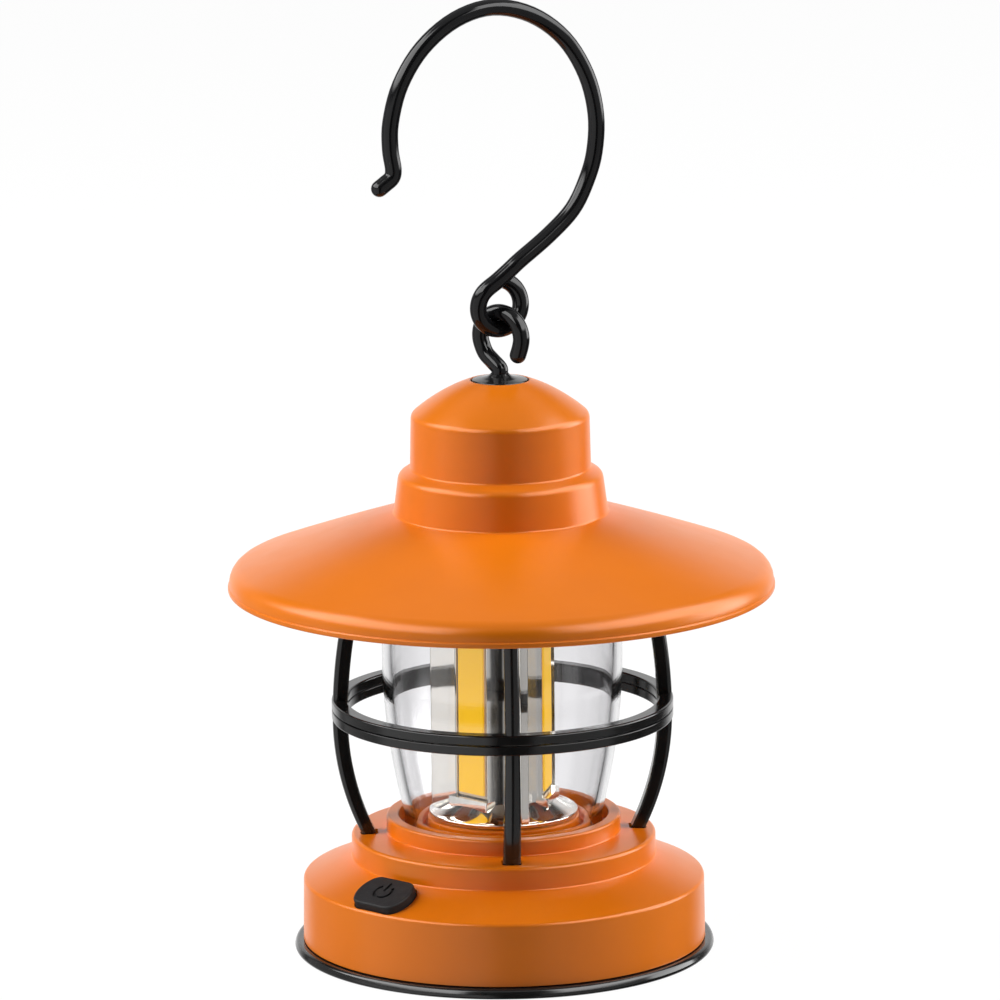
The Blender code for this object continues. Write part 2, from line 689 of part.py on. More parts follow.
def make_battery_tray():
    outer = prism(bay_outline(BAY_HALF_X + TRAY_WALL, BAY_HALF_Y + TRAY_WALL,
                              TRAY_CHAMFER + TRAY_WALL * 0.6), COVER_TOP_Z + FIT, TRAY_TOP_Z)
    tray = add_object("battery_tray", shifted(outer, 0, CELL_ROW_Y), "black", smooth=False)
    inner = prism(bay_outline(BAY_HALF_X, BAY_HALF_Y, TRAY_CHAMFER), COVER_TOP_Z - OVERRUN,
                  TRAY_UNDER_Z)
    cut(tray, shifted(inner, 0, CELL_ROW_Y), "bay")
    low, high = TRAY_UNDER_Z - OVERRUN, TRAY_TOP_Z + OVERRUN
    wide = TERMINAL_HALF + FIT
    slots = []
    for side, y in terminal_places():
        middle = side * (BAY_HALF_X - FIT - CONTACT_THICKNESS / 2)
        reach = CONTACT_THICKNESS / 2 + FIT
        slots.append(box((middle - reach, middle + reach), (y - wide, y + wide), (low, high)))
    cut(tray, merged(slots), "terminal_slots")
    pilots = merged(shifted(cylinder(BOARD_SCREW_RADIUS + FIT, low, high, PIN_SEGMENTS), x, y)
                    for x, y in board_screw_places())
    cut(tray, pilots, "pilots")
    return tray


def cell_rows():
    """Y of each cell and which way its positive end points."""
    return [(CELL_ROW_Y - CELL_PITCH, 1), (CELL_ROW_Y, -1), (CELL_ROW_Y + CELL_PITCH, 1)]


def terminal_places():
    """Side and Y of the two contacts that leave the tray."""
    rows = cell_rows()
    return [(-1, rows[0][0]), (1, rows[2][0])]


def board_screw_places():
    return [(-BOARD_SCREW_X, CELL_ROW_Y - CELL_PITCH / 2),
            (BOARD_SCREW_X, CELL_ROW_Y + CELL_PITCH / 2)]


def make_cells():
    radius = CELL_DIAMETER / 2
    nub_radius, nub_length = CELL_NUB
    tip = BAY_HALF_X - 2 * FIT - CONTACT_THICKNESS
    for number, (y, way) in enumerate(cell_rows(), 1):
        foot = tip - CELL_LENGTH
        shoulder = tip - nub_length
        outline = [(0, foot), (radius - CELL_EDGE, foot), (radius, foot + CELL_EDGE),
                   (radius, shoulder - CELL_EDGE), (radius - CELL_EDGE, shoulder),
                   (nub_radius, shoulder), (nub_radius, tip), (0, tip)]
        shape = placed(lathe(outline, ROUND_SEGMENTS), Matrix.Rotation(way * math.pi / 2, 4, "Y"))
        add_object(f"battery_cell_{number}", shifted(shape, 0, y, CELL_AXIS_Z), "cell")


def make_contacts():
    """Contact plates at both ends of the bay, and a coil spring at each negative end."""
    rows = cell_rows()
    half = CELL_DIAMETER / 2 - CONTACT_INSET
    places = [(-1, rows[0][0], rows[0][0], True), (1, rows[0][0], rows[1][0], False),
              (-1, rows[1][0], rows[2][0], False), (1, rows[2][0], rows[2][0], True)]
    for number, (side, first, last, terminal) in enumerate(places, 1):
        middle = side * (BAY_HALF_X - FIT - CONTACT_THICKNESS / 2)
        thick = (middle - CONTACT_THICKNESS / 2, middle + CONTACT_THICKNESS / 2)
        plate = box(thick, (first - half, last + half), (CELL_AXIS_Z - half, CELL_AXIS_Z + half))
        contact = add_object(f"contact_plate_{number}", plate, "steel", smooth=False)
        if terminal:
            tab = box(thick, (first - TERMINAL_HALF, first + TERMINAL_HALF),
                      (CELL_AXIS_Z, TRAY_TOP_Z + TERMINAL_RISE))
            join(contact, tab, "tab")
    plate_face = BAY_HALF_X - FIT - CONTACT_THICKNESS
    cell_end = CELL_LENGTH - (BAY_HALF_X - 2 * FIT - CONTACT_THICKNESS)
    start = plate_face - FIT - SPRING_WIRE / 2
    end = cell_end + FIT + SPRING_WIRE / 2
    steps = 9 * SPRING_TURNS
    for number, (y, way) in enumerate(rows, 1):
        points = []
        for step in range(steps + 1):
            angle = math.tau * SPRING_TURNS * step / steps
            x = -way * (start + (end - start) * step / steps)
            points.append((x, y + SPRING_RADIUS * math.cos(angle),
                           CELL_AXIS_Z + SPRING_RADIUS * math.sin(angle)))
        tube(f"contact_spring_{number}", points, SPRING_WIRE, "steel", resolution=1)


def make_screw(name, x, y, head_low, length, radius, head, upward=True):
    """Pan-head screw: a turned head and shank with a cross recess left to the finish."""
    head_radius, head_height = head
    way = 1 if upward else -1
    outline = [(0, 0), (head_radius - 0.5, 0), (head_radius, 0.5 * way),
               (head_radius, head_height * way), (radius, head_height * way),
               (radius, (head_height + length - radius) * way),
               (0, (head_height + length) * way)]
    add_object(name, shifted(lathe(outline, SMALL_SEGMENTS), x, y, head_low), "steel")


def make_cover_screws():
    for index in range(4):
        x, y = polar(COVER_SCREW_CIRCLE, 90 * index)
        make_screw(f"cover_screw_{index + 1}", x, y, COVER_RECESS + HEAD_RECESS, SCREW_LENGTH,
                   SCREW_RADIUS, (SCREW_HEAD_RADIUS, SCREW_HEAD_HEIGHT))


def make_driver_board():
    """Circuit board on the tray, with its chip and two screws."""
    low = TRAY_TOP_Z + FIT
    high = low + BOARD_THICKNESS
    plate = box((-BOARD_HALF, BOARD_HALF), (-BOARD_HALF, BOARD_HALF), (low, high))
    board = add_object("driver_board", shifted(plate, 0, CELL_ROW_Y), "board", smooth=False)
    bore = BOARD_SCREW_RADIUS + FIT
    holes = merged(shifted(cylinder(bore, low - OVERRUN, high + OVERRUN, PIN_SEGMENTS), x, y)
                   for x, y in board_screw_places())
    cut(board, holes, "screw_holes")
    width, depth, thick = CHIP
    chip = box((-width / 2, width / 2), (-depth / 2, depth / 2),
               (high + CHIP_GAP, high + CHIP_GAP + thick))
    chip_x, chip_y = CHIP_PLACE
    add_object("driver_chip", shifted(chip, chip_x, CELL_ROW_Y + chip_y), "black", smooth=False)
    for number, (x, y) in enumerate(board_screw_places(), 1):
        make_screw(f"board_screw_{number}", x, y, high + FIT + BOARD_SCREW_HEAD[1],
                   BOARD_SCREW_LENGTH, BOARD_SCREW_RADIUS, BOARD_SCREW_HEAD, upward=False)


def make_battery_leads():
    """Leads from the two outer contacts to the edge of the driver board."""
    level = TRAY_TOP_Z + FIT + BOARD_THICKNESS + LEAD_DIAMETER / 2 + 0.1
    for name, (side, y) in zip(("battery_lead_negative", "battery_lead_positive"),
                               terminal_places()):
        start = side * (BAY_HALF_X - 2 * FIT - CONTACT_THICKNESS - LEAD_DIAMETER / 2)
        knots = [Vector((start, y, TRAY_TOP_Z + 1.0)), Vector((start - side * 4, y, level)),
                 Vector((side * 16, (y + CELL_ROW_Y) / 2, level)),
                 Vector((side * 12, CELL_ROW_Y, level)), Vector((side * 9.5, CELL_ROW_Y, level + 0.2))]
        colour = "red" if side > 0 else "black"
        tube(name, smooth_route(knots, 4), LEAD_DIAMETER, colour, resolution=1)


# ---------------------------------------------------------------- power button

def switch_levels():
    """Heights in the slope frame of the stack under the button."""
    reach = BUTTON_DIAMETER / 2 + BUTTON_TAB[0]
    fall = reach ** 2 / (BASE_RADIUS + SHELF_RADIUS)    # the wall curves away from the flat tabs
    tab_high = -BASE_WALL - FIT - fall * BASE_SLOPE_RISE / (BASE_RADIUS - SHELF_RADIUS)
    tab_low = tab_high - BUTTON_TAB_THICKNESS
    stem_low = tab_low - BUTTON_STEM[1]
    body_high = stem_low - BUTTON_TRAVEL - FIT
    body_low = body_high - SWITCH_HEIGHT
    board_high = body_low - FIT
    return {
        "tab_high": tab_high,
        "tab_low": tab_low,
        "stem_low": stem_low,
        "plunger_high": stem_low - FIT / 2,
        "plunger_low": body_high - PLUNGER_DEPTH,
        "body_high": body_high,
        "body_low": body_low,
        "board_high": board_high,
        "board_low": board_high - SWITCH_BOARD[2],
    }


def make_power_button():
    """Button cap with its two inner tabs and stem, sliding along the slope's normal."""
    frame = slope_frame()
    level = switch_levels()
    rings = []
    for grow, height in ((0, level["tab_high"] - 0.5), (0, BUTTON_PROUD - 0.7),
                         (-0.35, BUTTON_PROUD - 0.2), (-1.0, BUTTON_PROUD)):
        rings.append([Vector((x, y, height)) * MM for x, y in button_outline(grow)])
    button = add_object("power_button", loft(rings), "rubber")
    button.matrix_world = frame
    reach = BUTTON_DIAMETER / 2 + BUTTON_TAB[0]
    tabs = box((-reach, reach), (-BUTTON_TAB[1], BUTTON_TAB[1]),
               (level["tab_low"], level["tab_high"]))
    join(button, tabs, "tabs").matrix_world = frame
    stem = cylinder(BUTTON_STEM[0], level["stem_low"], level["tab_low"] + 0.5)
    join(button, stem, "stem").matrix_world = frame
    plunger = cylinder(PLUNGER_RADIUS, level["plunger_low"], level["plunger_high"])
    add_object("switch_plunger", plunger, "white").matrix_world = frame


def make_switch():
    frame = slope_frame()
    level = switch_levels()
    half = SWITCH_SIZE / 2
    body = add_object("switch_body",
                      box((-half, half), (-half, half), (level["body_low"], level["body_high"])),
                      "black", smooth=False)
    body.matrix_world = frame
    bore_low = level["plunger_low"] - BUTTON_TRAVEL - FIT
    bore = cylinder(PLUNGER_RADIUS + FIT, bore_low, level["body_high"] + OVERRUN)
    cut(body, bore, "bore").matrix_world = frame
    width, depth, _ = SWITCH_BOARD
    board = add_object("switch_board",
                       box((-width / 2, width / 2), (-depth / 2, depth / 2),
                           (level["board_low"], level["board_high"])), "board", smooth=False)
    board.matrix_world = frame


# ---------------------------------------------------------------- light

def globe_outline():
    """Outer face of the globe, from its seat up to its rim."""
    low = GROOVE_Z + FIT + GASKET_LOWER + FIT
    high = CEILING_Z - FIT - GASKET_UPPER - FIT
    taper_low = low + GLOBE_SEAT_HEIGHT
    outline = [(GLOBE_SEAT_RADIUS, low)]
    steps = 5
    for step in range(steps + 1):
        share = 1 - step / steps
        radius = GLOBE_RADIUS - (GLOBE_RADIUS - GLOBE_SEAT_RADIUS) * share ** 2
        outline.append((radius, taper_low + GLOBE_TAPER_HEIGHT * (1 - share)))
    outline.append((GLOBE_RADIUS, high))
    return outline


def make_globe():
    outer = globe_outline()
    inner = [(radius - GLOBE_WALL, height) for radius, height in reversed(outer)]
    add_object("globe", lathe(outer + inner), "glass")
    seat_low = GROOVE_Z + FIT
    add_object("globe_gasket_lower",
               ring(GLOBE_SEAT_RADIUS - GLOBE_WALL, GLOBE_SEAT_RADIUS, seat_low,
                    seat_low + GASKET_LOWER), "rubber")
    top = CEILING_Z - FIT
    add_object("globe_gasket_upper",
               ring(GLOBE_RADIUS - GLOBE_WALL, GLOBE_RADIUS, top - GASKET_UPPER, top), "rubber")


def from_trough(outward, across):
    """Place along a wing and to its side, of a point given from the middle of a trough."""
    turn = math.radians(60)
    return (outward * math.cos(turn) + across * math.sin(turn),
            outward * math.sin(turn) - across * math.cos(turn))


def star_outline():
    """Plan of the reflector's column: three wings with a lipped trough between each pair."""
    lip_height, draft = TROUGH_LIP
    floor = from_trough(TROUGH_DEPTH, TROUGH_WIDTH / 2)
    lip = from_trough(TROUGH_DEPTH + lip_height, TROUGH_WIDTH / 2 + draft)
    flank = [(WING_RADIUS, WING_EDGE / 2), WING_ROOT]
    for share in (1 / 3, 2 / 3):
        radius, side = Vector(WING_ROOT).lerp(Vector(lip), share)
        flank.append((radius - 4 * FACET_SAG * share * (1 - share), side))
    flank += [lip, floor]
    outline = []
    for index in range(3):
        wing = math.radians(REFLECTOR_BEARING + 120 * index)
        across = [(radius, -side) for radius, side in reversed(flank)] + flank
        for radius, side in across:
            outline.append((radius * math.sin(wing) + side * math.cos(wing),
                            -radius * math.cos(wing) + side * math.sin(wing)))
    return outline


def trough_frame(index):
    """Frame in the middle of a trough's floor: X across, Y outward, Z up."""
    bearing = math.radians(REFLECTOR_BEARING - 60 + 120 * index)
    outward = Vector((math.sin(bearing), -math.cos(bearing), 0))
    across = Vector((-math.cos(bearing), -math.sin(bearing), 0))
    return frame_matrix(outward * TROUGH_DEPTH, across, outward, Vector((0, 0, 1)))


def make_reflector():
    reflector = add_object("reflector",
                           prism(star_outline(), REFLECTOR_Z + 0.2, REFLECTOR_TOP_Z), "chrome")
    rim_z = REFLECTOR_Z + DISH_RIM
    dish = lathe([(0, REFLECTOR_Z), (REFLECTOR_RADIUS, REFLECTOR_Z), (REFLECTOR_RADIUS, rim_z),
                  (DISH_MIDDLE_RADIUS, rim_z + DISH_RISE * 0.35),
                  (TROUGH_DEPTH + 1.5, rim_z + DISH_RISE * 0.8),
                  (TROUGH_DEPTH + 0.4, rim_z + DISH_RISE), (0, rim_z + DISH_RISE)])
    join(reflector, dish, "dish")
    width, height, proud = CLIP_BAR
    bars = []
    for index in range(3):
        bar = box((-width / 2, width / 2), (-2.0, proud),
                  (rim_z + DISH_RISE - height, rim_z + DISH_RISE))
        bars.append(placed(bar, trough_frame(index)))
    join(reflector, merged(bars), "clip_bars")
    low, high = REFLECTOR_Z - OVERRUN, REFLECTOR_TOP_Z + OVERRUN
    holes = [cylinder(ROD_RADIUS + FIT, low, high)]
    for side in (-1, 1):
        hole = cylinder(LEAD_DIAMETER / 2 + FIT, low, high, PIN_SEGMENTS)
        holes.append(shifted(hole, side * LEAD_OFFSET))
    cut(reflector, merged(holes), "holes")
    make_reflector_cap()


def make_reflector_cap():
    """Cap over the column, with a recess round the tie rod for the leads."""
    low = CEILING_Z - FIT - CAP_THICKNESS
    high = CEILING_Z - FIT
    bore = ROD_RADIUS + FIT
    sleeve = bore + CAP_SLEEVE
    recess = TROUGH_DEPTH + CAP_RECESS_OVER
    outline = [(bore, low), (sleeve, low), (sleeve, low + CAP_RECESS),
               (recess, low + CAP_RECESS), (recess, low), (REFLECTOR_RADIUS, low),
               (REFLECTOR_RADIUS, high), (bore, high)]
    add_object("reflector_cap", lathe(outline, ROUND_SEGMENTS), "white")


def make_led_strips():
    """A board in each trough with a raised phosphor strip on its face."""
    board_width, board_thick = LED_BOARD
    strip_width, strip_thick = LED_PHOSPHOR
    for index in range(3):
        frame = trough_frame(index)
        face = FIT + board_thick
        board = box((-board_width / 2, board_width / 2), (FIT, face), (STRIP_Z, STRIP_TOP_Z))
        add_object(f"led_board_{index + 1}", placed(board, frame), "cream", smooth=False)
        strip = box((-strip_width / 2, strip_width / 2), (face + 0.1, face + 0.1 + strip_thick),
                    (STRIP_Z + 0.8, STRIP_TOP_Z - 2))
        add_object(f"led_phosphor_{index + 1}", placed(strip, frame), "phosphor", smooth=False)


def make_tie_rod():
    """Long bolt that clamps the base, the reflector and the ceiling plate together."""
    head_radius, head_height = ROD_HEAD
    under = SHELF_Z - BASE_WALL - FIT
    top = CEILING_TOP_Z + ROD_ABOVE
    outline = [(0, under - head_height), (head_radius, under - head_height), (head_radius, under),
               (ROD_RADIUS, under), (ROD_RADIUS, top), (0, top)]
    add_object("tie_rod", lathe(outline, SMALL_SEGMENTS), "steel")
    make_nut("tie_rod_nut", *ROD_NUT, ROD_RADIUS + 2 * RUNNING, CEILING_TOP_Z + FIT)


def make_nut(name, corner, thick, bore, low):
    """Hexagon nut with a round bore, on the Z axis."""
    nut = add_object(name, cylinder(corner, low, low + thick, 6), "steel", smooth=False)
    cut(nut, cylinder(bore, low - OVERRUN, low + thick + OVERRUN), "bore")


def make_led_leads():
    """Two leads from the driver board up through the reflector to the cap's recess."""
    start = TRAY_TOP_Z + FIT + BOARD_THICKNESS + FIT
    top = CEILING_Z - FIT - CAP_THICKNESS + CAP_RECESS - FIT - LEAD_DIAMETER / 2
    for name, side, colour in (("led_lead_negative", -1, "black"), ("led_lead_positive", 1, "red")):
        x = side * LEAD_OFFSET
        points = [(x, 0, start), (x, 0, SHELF_Z), (x, 0, REFLECTOR_TOP_Z - 1)]
        for step in range(5):
            angle = math.radians(22.5 * step)
            reach = top - REFLECTOR_TOP_Z + 0.6
            points.append((x + side * reach * (1 - math.cos(angle)), 0,
                           top - reach + reach * math.sin(angle)))
        points.append((side * (TROUGH_DEPTH - 0.8), 0, top))
        tube(name, points, LEAD_DIAMETER, colour, resolution=1)


# ---------------------------------------------------------------- cage

def rib_reach(height):
    """Radius of a rib's outer edge at a height: two arcs that meet at its belly."""
    drop = height - RIB_BELLY_Z
    if drop < 0:
        rise, draw = RIB_BELLY_RISE, RIB_BELLY_RADIUS - RIB_FOOT_RADIUS
    else:
        rise, draw = CAGE_RING_Z - RIB_BELLY_Z, RIB_TOP_DRAW
    arc = (rise ** 2 + draw ** 2) / (2 * draw)
    return RIB_BELLY_RADIUS - arc + math.sqrt(arc ** 2 - drop ** 2)


def rib_section(outer, width, height, bearing, grow=0.0):
    """Ring of points round a rib: flat sides and back, rounded front."""
    half = width / 2 + grow
    back = outer - RIB_DEPTH - grow
    front = outer + grow
    corners = [(back, -half), (front - 1.2, -half), (front - 0.3, -half * 0.6), (front, 0),
               (front - 0.3, half * 0.6), (front - 1.2, half), (back, half)]
    angle = math.radians(bearing)
    points = []
    for radius, side in corners:
        points.append(Vector((radius * math.sin(angle) + side * math.cos(angle),
                              -radius * math.cos(angle) + side * math.sin(angle), height)) * MM)
    return points


def rib_foot_at(index, grow, low, high):
    bearing = CAGE_BEARING + 90 * index
    return loft([rib_section(RIB_FOOT_RADIUS, RIB_FOOT_WIDTH, height, bearing, grow)
                 for height in (low, high)])


def rib(index, low, high, foot_low=None):
    """One rib between two heights, with a straight tab below its foot if asked."""
    bearing = CAGE_BEARING + 90 * index
    rings = []
    if foot_low is not None:
        rings.append(rib_section(RIB_FOOT_RADIUS, RIB_FOOT_WIDTH, foot_low, bearing))
    steps = 7
    for step in range(steps + 1):
        height = low + (high - low) * step / steps
        share = max(0.0, (BELT_Z - height) / (BELT_Z - SHELF_Z))
        width = RIB_WIDTH + (RIB_FOOT_WIDTH - RIB_WIDTH) * share
        rings.append(rib_section(rib_reach(height), width, height, bearing))
    return loft(rings)


def belt_half(low):
    inner = BELT_RADIUS - BELT_DEPTH
    high = low + BELT_HALF
    return lathe([(inner, low), (BELT_RADIUS - BELT_EDGE, low), (BELT_RADIUS, low + BELT_EDGE),
                  (BELT_RADIUS, high - BELT_EDGE), (BELT_RADIUS - BELT_EDGE, high),
                  (inner, high)])


def belt_pins(grow, low, high):
    middle = BELT_RADIUS - BELT_DEPTH / 2
    return around(4, CAGE_BEARING + 45, middle,
                  lambda: cylinder(BELT_PIN[0] + grow, low, high, PIN_SEGMENTS))


def make_cage():
    """Lower and upper halves of the cage, which meet at the belt on four locating pins."""
    upper_z = BELT_Z + BELT_HALF + FIT
    lower = add_object("cage_lower", belt_half(BELT_Z), "black_gloss")
    foot_low = SHELF_Z - BASE_WALL - RIB_TAB_DEPTH
    ribs = merged(rib(index, SHELF_Z, BELT_Z + BELT_HALF * 0.6, foot_low) for index in range(4))
    join(lower, ribs, "ribs")
    join(lower, belt_pins(0, BELT_Z + BELT_HALF - OVERRUN, upper_z + BELT_PIN[1]), "pins")

    upper = add_object("cage_upper", belt_half(upper_z), "black_gloss")
    ribs = merged(rib(index, upper_z + BELT_HALF * 0.4, CAGE_RING_Z + CAGE_RING_THICKNESS * 0.6)
                  for index in range(4))
    join(upper, ribs, "ribs")
    inner, outer = cage_ring_radii()
    join(upper, ring(inner, outer, CAGE_RING_Z, CAGE_RING_TOP_Z), "top_ring")
    cut(upper, belt_pins(FIT, upper_z - OVERRUN, upper_z + BELT_PIN[1] + FIT), "pin_holes")
    holes = around(4, CAGE_BEARING + 45, shade_screw_circle(),
                   lambda: cylinder(SCREW_RADIUS + FIT, CAGE_RING_Z - OVERRUN,
                                    CAGE_RING_TOP_Z + OVERRUN))
    cut(upper, holes, "screw_holes")


def cage_ring_radii():
    return GLOBE_RADIUS + CAGE_RING_GAP, rib_reach(CAGE_RING_Z) - 0.2


def shade_screw_circle():
    return sum(cage_ring_radii()) / 2


# ---------------------------------------------------------------- shade

def brim_line():
    """Crowned top of the brim, from its lip to the foot of the step."""
    start = Vector((BRIM_RADIUS - 2.6, BRIM_Z + BRIM_LIP + 0.4))
    end = Vector((STEP_RADIUS + 0.5, STEP_FOOT_Z))
    steps = 4
    line = []
    for step in range(steps + 1):
        share = step / steps
        point = start.lerp(end, share)
        line.append((point.x, point.y + 4 * BRIM_CROWN * share * (1 - share)))
    return line


def brim_underside(radius):
    """Height of the brim's inner face at a radius."""
    inner = offset_inward(brim_line(), SHADE_WALL)
    for (outer_r, low), (inner_r, high) in zip(inner, inner[1:]):
        if inner_r <= radius <= outer_r:
            return low + (high - low) * (outer_r - radius) / (outer_r - inner_r)
    return inner[0][1]


def dome_line():
    """Dome from its shoulder to the flange, a shallow arc with a rounded shoulder."""
    start = Vector((NECK_RADIUS - NECK_TAPER, NECK_TOP_Z))
    end = Vector((FLANGE_RADIUS + FIT, DOME_TOP_Z))
    steps = 4
    line = []
    for step in range(steps + 1):
        share = step / steps
        point = start.lerp(end, share)
        line.append((point.x, point.y + 4 * DOME_BULGE * share * (1 - share)))
    return line


def shade_skin():
    """Outer face of the shade above its lip."""
    step_top = STEP_RADIUS - STEP_TAPER
    return [
        *brim_line(),
        (STEP_RADIUS, STEP_FOOT_Z + 0.7),
        (step_top, STEP_TOP_Z - 1.8),
        (step_top - 0.3, STEP_TOP_Z - 0.5),
        (step_top - 1.0, STEP_TOP_Z + 0.7),
        (NECK_RADIUS + 0.6, NECK_FOOT_Z - 0.4),
        (NECK_RADIUS, NECK_FOOT_Z + 0.6),
        (NECK_RADIUS - NECK_TAPER, NECK_TOP_Z - 0.9),
        *dome_line()[1:],
    ]


def make_shade():
    lip_top = BRIM_Z + BRIM_LIP
    lip_inner = BRIM_RADIUS - LIP_WIDTH
    lip = [(lip_inner + 0.3, BRIM_Z), (BRIM_RADIUS - 0.6, BRIM_Z), (BRIM_RADIUS, BRIM_Z + 1.2),
           (BRIM_RADIUS, BRIM_Z + 2.8), (BRIM_RADIUS - 0.9, lip_top - 0.4)]
    skin = shade_skin()
    outline = [(0, BRIM_Z), *lip, *skin, (FLANGE_RADIUS + FIT, FLANGE_SEAT_Z), (0, FLANGE_SEAT_Z)]
    shade = add_object("shade", lathe(outline), "orange")
    inner = offset_inward(skin, SHADE_WALL)
    inner = [(radius, min(height, DOME_INNER_Z)) for radius, height in inner[:-1]]
    below = BRIM_Z - LONG_OVERRUN
    cavity = lathe([(0, below), (lip_inner, below), (lip_inner, BRIM_Z + 1.6),
                    *inner, (0, DOME_INNER_Z)])
    hollow = cut(shade, cavity, "hollow")
    boss_low = CEILING_TOP_Z + FIT
    bosses = around(4, CAGE_BEARING + 45, shade_screw_circle(),
                    lambda: cylinder(BOSS_RADIUS, boss_low, DOME_TOP_Z))
    cut(hollow, bosses, "bosses")
    head_low = CAGE_RING_Z - FIT - SCREW_HEAD_HEIGHT
    pilot_high = head_low + SCREW_HEAD_HEIGHT + SCREW_LENGTH + FIT
    pilots = around(4, CAGE_BEARING + 45, shade_screw_circle(),
                    lambda: cylinder(SCREW_RADIUS + FIT, boss_low - OVERRUN, pilot_high))
    cut(shade, pilots, "pilots")
    shank_hole = cylinder(WIRE_RADIUS + FIT, DOME_INNER_Z - OVERRUN, DOME_TOP_Z + OVERRUN,
                          ROUND_SEGMENTS)
    cut(shade, shank_hole, "shank_hole")


def make_ceiling_plate():
    """Plate under the shade that closes the globe, with an upturned rim."""
    rim_top = brim_underside(CEILING_RADIUS) - CEILING_RIM_GAP
    rim_inner = CEILING_RADIUS - CEILING_RIM_WALL
    outline = [(ROD_RADIUS + FIT, CEILING_Z), (CEILING_RADIUS, CEILING_Z), (CEILING_RADIUS, rim_top),
               (rim_inner, rim_top), (rim_inner, CEILING_TOP_Z),
               (ROD_RADIUS + FIT, CEILING_TOP_Z)]
    plate = add_object("ceiling_plate", lathe(outline), "white")
    holes = around(4, CAGE_BEARING + 45, shade_screw_circle(),
                   lambda: cylinder(SCREW_RADIUS + FIT, CEILING_Z - OVERRUN,
                                    CEILING_TOP_Z + OVERRUN))
    cut(plate, holes, "screw_holes")
    head_low = CAGE_RING_Z - FIT - SCREW_HEAD_HEIGHT
    for index in range(4):
        x, y = polar(shade_screw_circle(), CAGE_BEARING + 45 + 90 * index)
        make_screw(f"shade_screw_{index + 1}", x, y, head_low, SCREW_LENGTH, SCREW_RADIUS,
                   (SCREW_HEAD_RADIUS, SCREW_HEAD_HEIGHT))


# ---------------------------------------------------------------- swivel and hook

def make_flange():
    """Shallow black cone let into the top of the dome, which the shank turns in."""
    bore = WIRE_RADIUS + RUNNING
    low = FLANGE_SEAT_Z + FIT
    outline = [(bore, low), (FLANGE_RADIUS, low), (FLANGE_RADIUS, DOME_TOP_Z),
               (FLANGE_CONE, DOME_TOP_Z + FLANGE_RISE * 0.55), (bore, DOME_TOP_Z + FLANGE_RISE)]
    add_object("flange_disc", lathe(outline, ROUND_SEGMENTS), "black_gloss")


def plane_point(turn, across, height, depth=0.0):
    """Point in a vertical plane turned about Z; depth is towards the front."""
    angle = math.radians(turn)
    return Vector((across * math.cos(angle) + depth * math.sin(angle),
                   across * math.sin(angle) - depth * math.cos(angle), height))


def make_eye_bolt():
    """Open wire eye whose left side runs down into the vertical shank."""
    shank_low = DOME_INNER_Z - SHANK_BELOW
    knots = [plane_point(EYE_TURN, 0, DOME_TOP_Z + FLANGE_RISE + WIRE_DIAMETER * 0.05),
             plane_point(EYE_TURN, -0.1, DOME_TOP_Z + EYE_NECK * 0.605),
             plane_point(EYE_TURN, -EYE_RADIUS * 0.34, EYE_Z - EYE_RADIUS * 1.02),
             plane_point(EYE_TURN, -EYE_RADIUS * 0.66, EYE_Z - EYE_RADIUS * 0.75)]
    steps = 12
    for step in range(steps + 1):
        angle = math.radians(205 - 225 * step / steps)
        knots.append(plane_point(EYE_TURN, EYE_SHIFT + EYE_RADIUS * math.cos(angle),
                                 EYE_Z + EYE_RADIUS * math.sin(angle)))
    knots.append(plane_point(EYE_TURN, EYE_SHIFT + EYE_RADIUS * 0.83, EYE_Z - EYE_RADIUS * 0.66))
    route = [plane_point(EYE_TURN, 0, shank_low)] + smooth_route(knots, 2)
    outward = (route[-1] - route[-2]).normalized()
    tip, scales = rounded_end(route, outward, WIRE_RADIUS)
    radii = [1.0] * len(route) + scales
    tube("eye_bolt", route + tip, WIRE_DIAMETER, "black_gloss", radii=radii)
    washer_radius, washer_thick = WASHER
    top = DOME_INNER_Z - FIT
    bore = WIRE_RADIUS + RUNNING
    washer = ring(bore, washer_radius, top - washer_thick, top, ROUND_SEGMENTS)
    add_object("swivel_washer", washer, "steel")
    corner, thick = NUT
    make_nut("swivel_nut", corner, thick, bore, top - washer_thick - 0.2 - thick)


def hook_route():
    """Centre line of the hook, from its free tip round the loop and down to its eye.

    The loop's places are measured from the middle of the eye, in the hook's own plane.
    """
    loop = [(-29.6, 30.1), (-28.2, 31.1), (-26.5, 32.5), (-26.1, 34.6), (-26.8, 39.4),
            (-26.6, 45.8), (-24.1, 54.4), (-18.6, 62.7), (-10.4, 68.9), (-1.1, 71.3),
            (8.6, 69.0), (16.8, 62.9), (22.3, 54.0), (24.7, 44.4), (24.3, 35.4),
            (22.1, 28.3), (18.4, 21.9), (12.0, 16.3), (4.6, 11.1), (2.0, 9.0), (-1.1, 6.55)]
    front = (WIRE_DIAMETER + EYE_PITCH_GAP) / 2
    knots = []
    for across, height in loop:
        near_eye = min(1.0, max(0.0, 1 - (height - 10.6) / 14))
        knots.append(plane_point(HOOK_TURN, across, HOOK_EYE_Z + height, front * near_eye))
    steps = 16
    start, sweep = 132, 314
    for step in range(steps + 1):
        share = step / steps
        angle = math.radians(start + sweep * share)
        knots.append(plane_point(HOOK_TURN, HOOK_EYE_RADIUS * math.cos(angle),
                                 HOOK_EYE_Z + HOOK_EYE_RADIUS * math.sin(angle),
                                 front * (1 - 2 * share)))
    return smooth_route(knots, 2)


def make_hanging_hook():
    route = hook_route()
    outward = (route[0] - route[1]).normalized()
    tip, scales = rounded_end([route[0]], outward, WIRE_RADIUS)
    points = list(reversed(tip)) + route
    radii = list(reversed(scales)) + [1.0] * len(route)
    tube("hanging_hook", points, WIRE_DIAMETER, "black_gloss", radii=radii, origin=(0, 0, LINK_Z))


